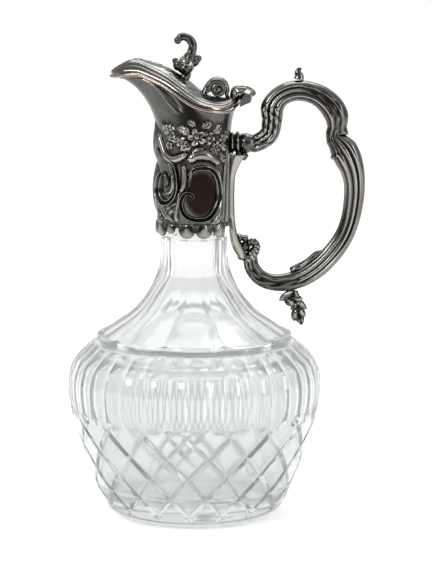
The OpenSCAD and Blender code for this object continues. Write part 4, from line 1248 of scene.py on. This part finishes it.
def lidFinial():
    # stem with a leafy knop, hooked over at the top, on the lid's crest and square to it
    t = lidCast["finialT"]
    slope = np.array([float(lidX(t + 1) - lidX(t - 1)), float(lidTop(t + 1) - lidTop(t - 1))])
    n = unit(np.array([slope[1], -slope[0]]))
    n = n if n[1] > 0 else -n
    foot = [[d * n[0], d * n[1], half] for d, half in ((-1.2, 3.4), (0.2, 3.2), (2, 2.6))]
    line = foot + [[x, z * finial["stretch"], half] for x, z, half in finial["line"]]
    start = (float(lidX(t)), float(lidTop(t)))
    parts = [tube(line, start, 0.9, 170, 7, 0.05)]
    for x, z, r, ribs, deep in finial["knobs"]:
        centre = (start[0] + x, 0, start[1] + z * finial["stretch"])
        parts.append(knob(centre, r, ribs, deep, 1.0, finial["angle"]))
    addSilver("lidFinial", parts, ("lid_finial",), "lid_assembly")


lidFinial()
print("lid ready")

# hinge and fixings keep their own shapes

fixings = {"plaster_bedding": plaster, "finial_screw": plainSilver, "finial_nut": plainSilver,
           "hinge_mount_knuckles": plainSilver, "hinge_lid_knuckle": plainSilver, "hinge_pin": plainSilver}
for name, material in fixings.items():
    mesh = nodes[name].data
    mesh.materials.clear()
    mesh.materials.append(material)

# studio

studio = {
    "floorColour": (0.80, 0.80, 0.80, 1),
    "floorGlow": 0.45,
    "fill": 0.75,
    "mirror": [(0.0, 0.06), (0.25, 0.2), (0.5, 0.5), (0.8, 0.66)],     # grey from front to back
    "mirrorTop": (0.25, 0.8, 0.0, 0.6),      # direction's Z from and to, light added from and to
    "bent": (-0.5, 0.3, 0.68, 1.0),          # direction's Y from and to, light seen through the glass
    "cameraPlace": (0.0, -1.4, 0.349),
    "tilt": 8.595,
    "pan": 0.52,
    "lens": 155.05,
    "lamps": [("keyLamp", (-0.9, -1.1, 1.0), (0, 0, 0.15), (0.5, 0.5), 9),
              ("fillLamp", (1.1, -0.8, 0.6), (0, 0, 0.15), (0.3, 0.8), 4),
              ("topLamp", (0.1, 0.5, 1.3), (0, 0, 0.1), (0.9, 0.6), 9)],
}


def makeFloor():
    # pale floor that glows a little for the eye and for mirrored and refracted rays
    mesh = bpy.data.meshes.new("floor")
    mesh.from_pydata([(-6, -6, 0), (6, -6, 0), (6, 6, 0), (-6, 6, 0)], [], [(0, 1, 2, 3)])
    material, tree, shader = nodeTree("paleFloor")
    path = addNode(tree, "ShaderNodeLightPath")
    seen = calc(tree, "MAXIMUM", path.outputs["Is Camera Ray"], path.outputs["Is Glossy Ray"])
    seen = calc(tree, "MAXIMUM", seen, path.outputs["Is Transmission Ray"])
    glow = calc(tree, "MULTIPLY", seen, studio["floorGlow"])
    setInputs(tree, shader, {"Base Color": studio["floorColour"], "Roughness": 0.9,
                             "Specular IOR Level": 0.0, "Emission Color": (1, 1, 1, 1),
                             "Emission Strength": glow})
    mesh.materials.append(material)
    floor = bpy.data.objects.new("floor", mesh)
    bpy.context.scene.collection.objects.link(floor)


def makeWorld():
    # white to the camera; what the metal mirrors is dark in front of the jug and light behind it
    world = bpy.data.worlds.new("studio")
    bpy.context.scene.world = world
    world.use_nodes = True
    tree = world.node_tree
    tree.nodes.clear()
    path = addNode(tree, "ShaderNodeLightPath")
    way = addNode(tree, "ShaderNodeTexCoord").outputs["Generated"]
    way = addNode(tree, "ShaderNodeSeparateXYZ", {0: way})
    place = calc(tree, "MULTIPLY", calc(tree, "ADD", way.outputs["Y"], 1.0), 0.5)
    front = ramp(tree, place, [(stop, (grey, grey, grey)) for stop, grey in studio["mirror"]])
    high = spread(tree, way.outputs["Z"], *studio["mirrorTop"], "SMOOTHSTEP")
    mirrored = calc(tree, "ADD", front, high)
    lit = blend(tree, path.outputs["Is Glossy Ray"], studio["fill"], mirrored)
    crossed = calc(tree, "GREATER_THAN", path.outputs["Transmission Depth"], 0.5)
    bent = spread(tree, way.outputs["Y"], *studio["bent"], "SMOOTHSTEP")
    seen = blend(tree, crossed, lit.outputs[0], bent)
    level = blend(tree, path.outputs["Is Camera Ray"], seen.outputs[0], 1.0)
    sky = addNode(tree, "ShaderNodeBackground", {"Color": (1, 1, 1, 1), "Strength": level.outputs[0]})
    addNode(tree, "ShaderNodeOutputWorld", {"Surface": sky.outputs[0]})


def makeLamp(name, place, target, size, power):
    # rectangular lamp turned towards its target
    data = bpy.data.lights.new(name, "AREA")
    data.shape = "RECTANGLE"
    data.size, data.size_y = size
    data.energy = power
    lamp = bpy.data.objects.new(name, data)
    lamp.location = place
    way = Vector(target) - Vector(place)
    lamp.rotation_euler = way.to_track_quat("-Z", "Y").to_euler()
    bpy.context.scene.collection.objects.link(lamp)


def makeCamera():
    data = bpy.data.cameras.new("camera")
    data.lens = studio["lens"]
    data.sensor_width = 36
    data.sensor_fit = "AUTO"
    camera = bpy.data.objects.new("camera", data)
    camera.location = studio["cameraPlace"]
    camera.rotation_euler = (math.radians(90 - studio["tilt"]), 0, -math.radians(studio["pan"]))
    bpy.context.scene.collection.objects.link(camera)
    bpy.context.scene.camera = camera


makeFloor()
makeWorld()
for name, place, target, size, power in studio["lamps"]:
    makeLamp(name, place, target, size, power)
makeCamera()
bpy.context.scene.view_settings.view_transform = "Standard"
print("studio ready")
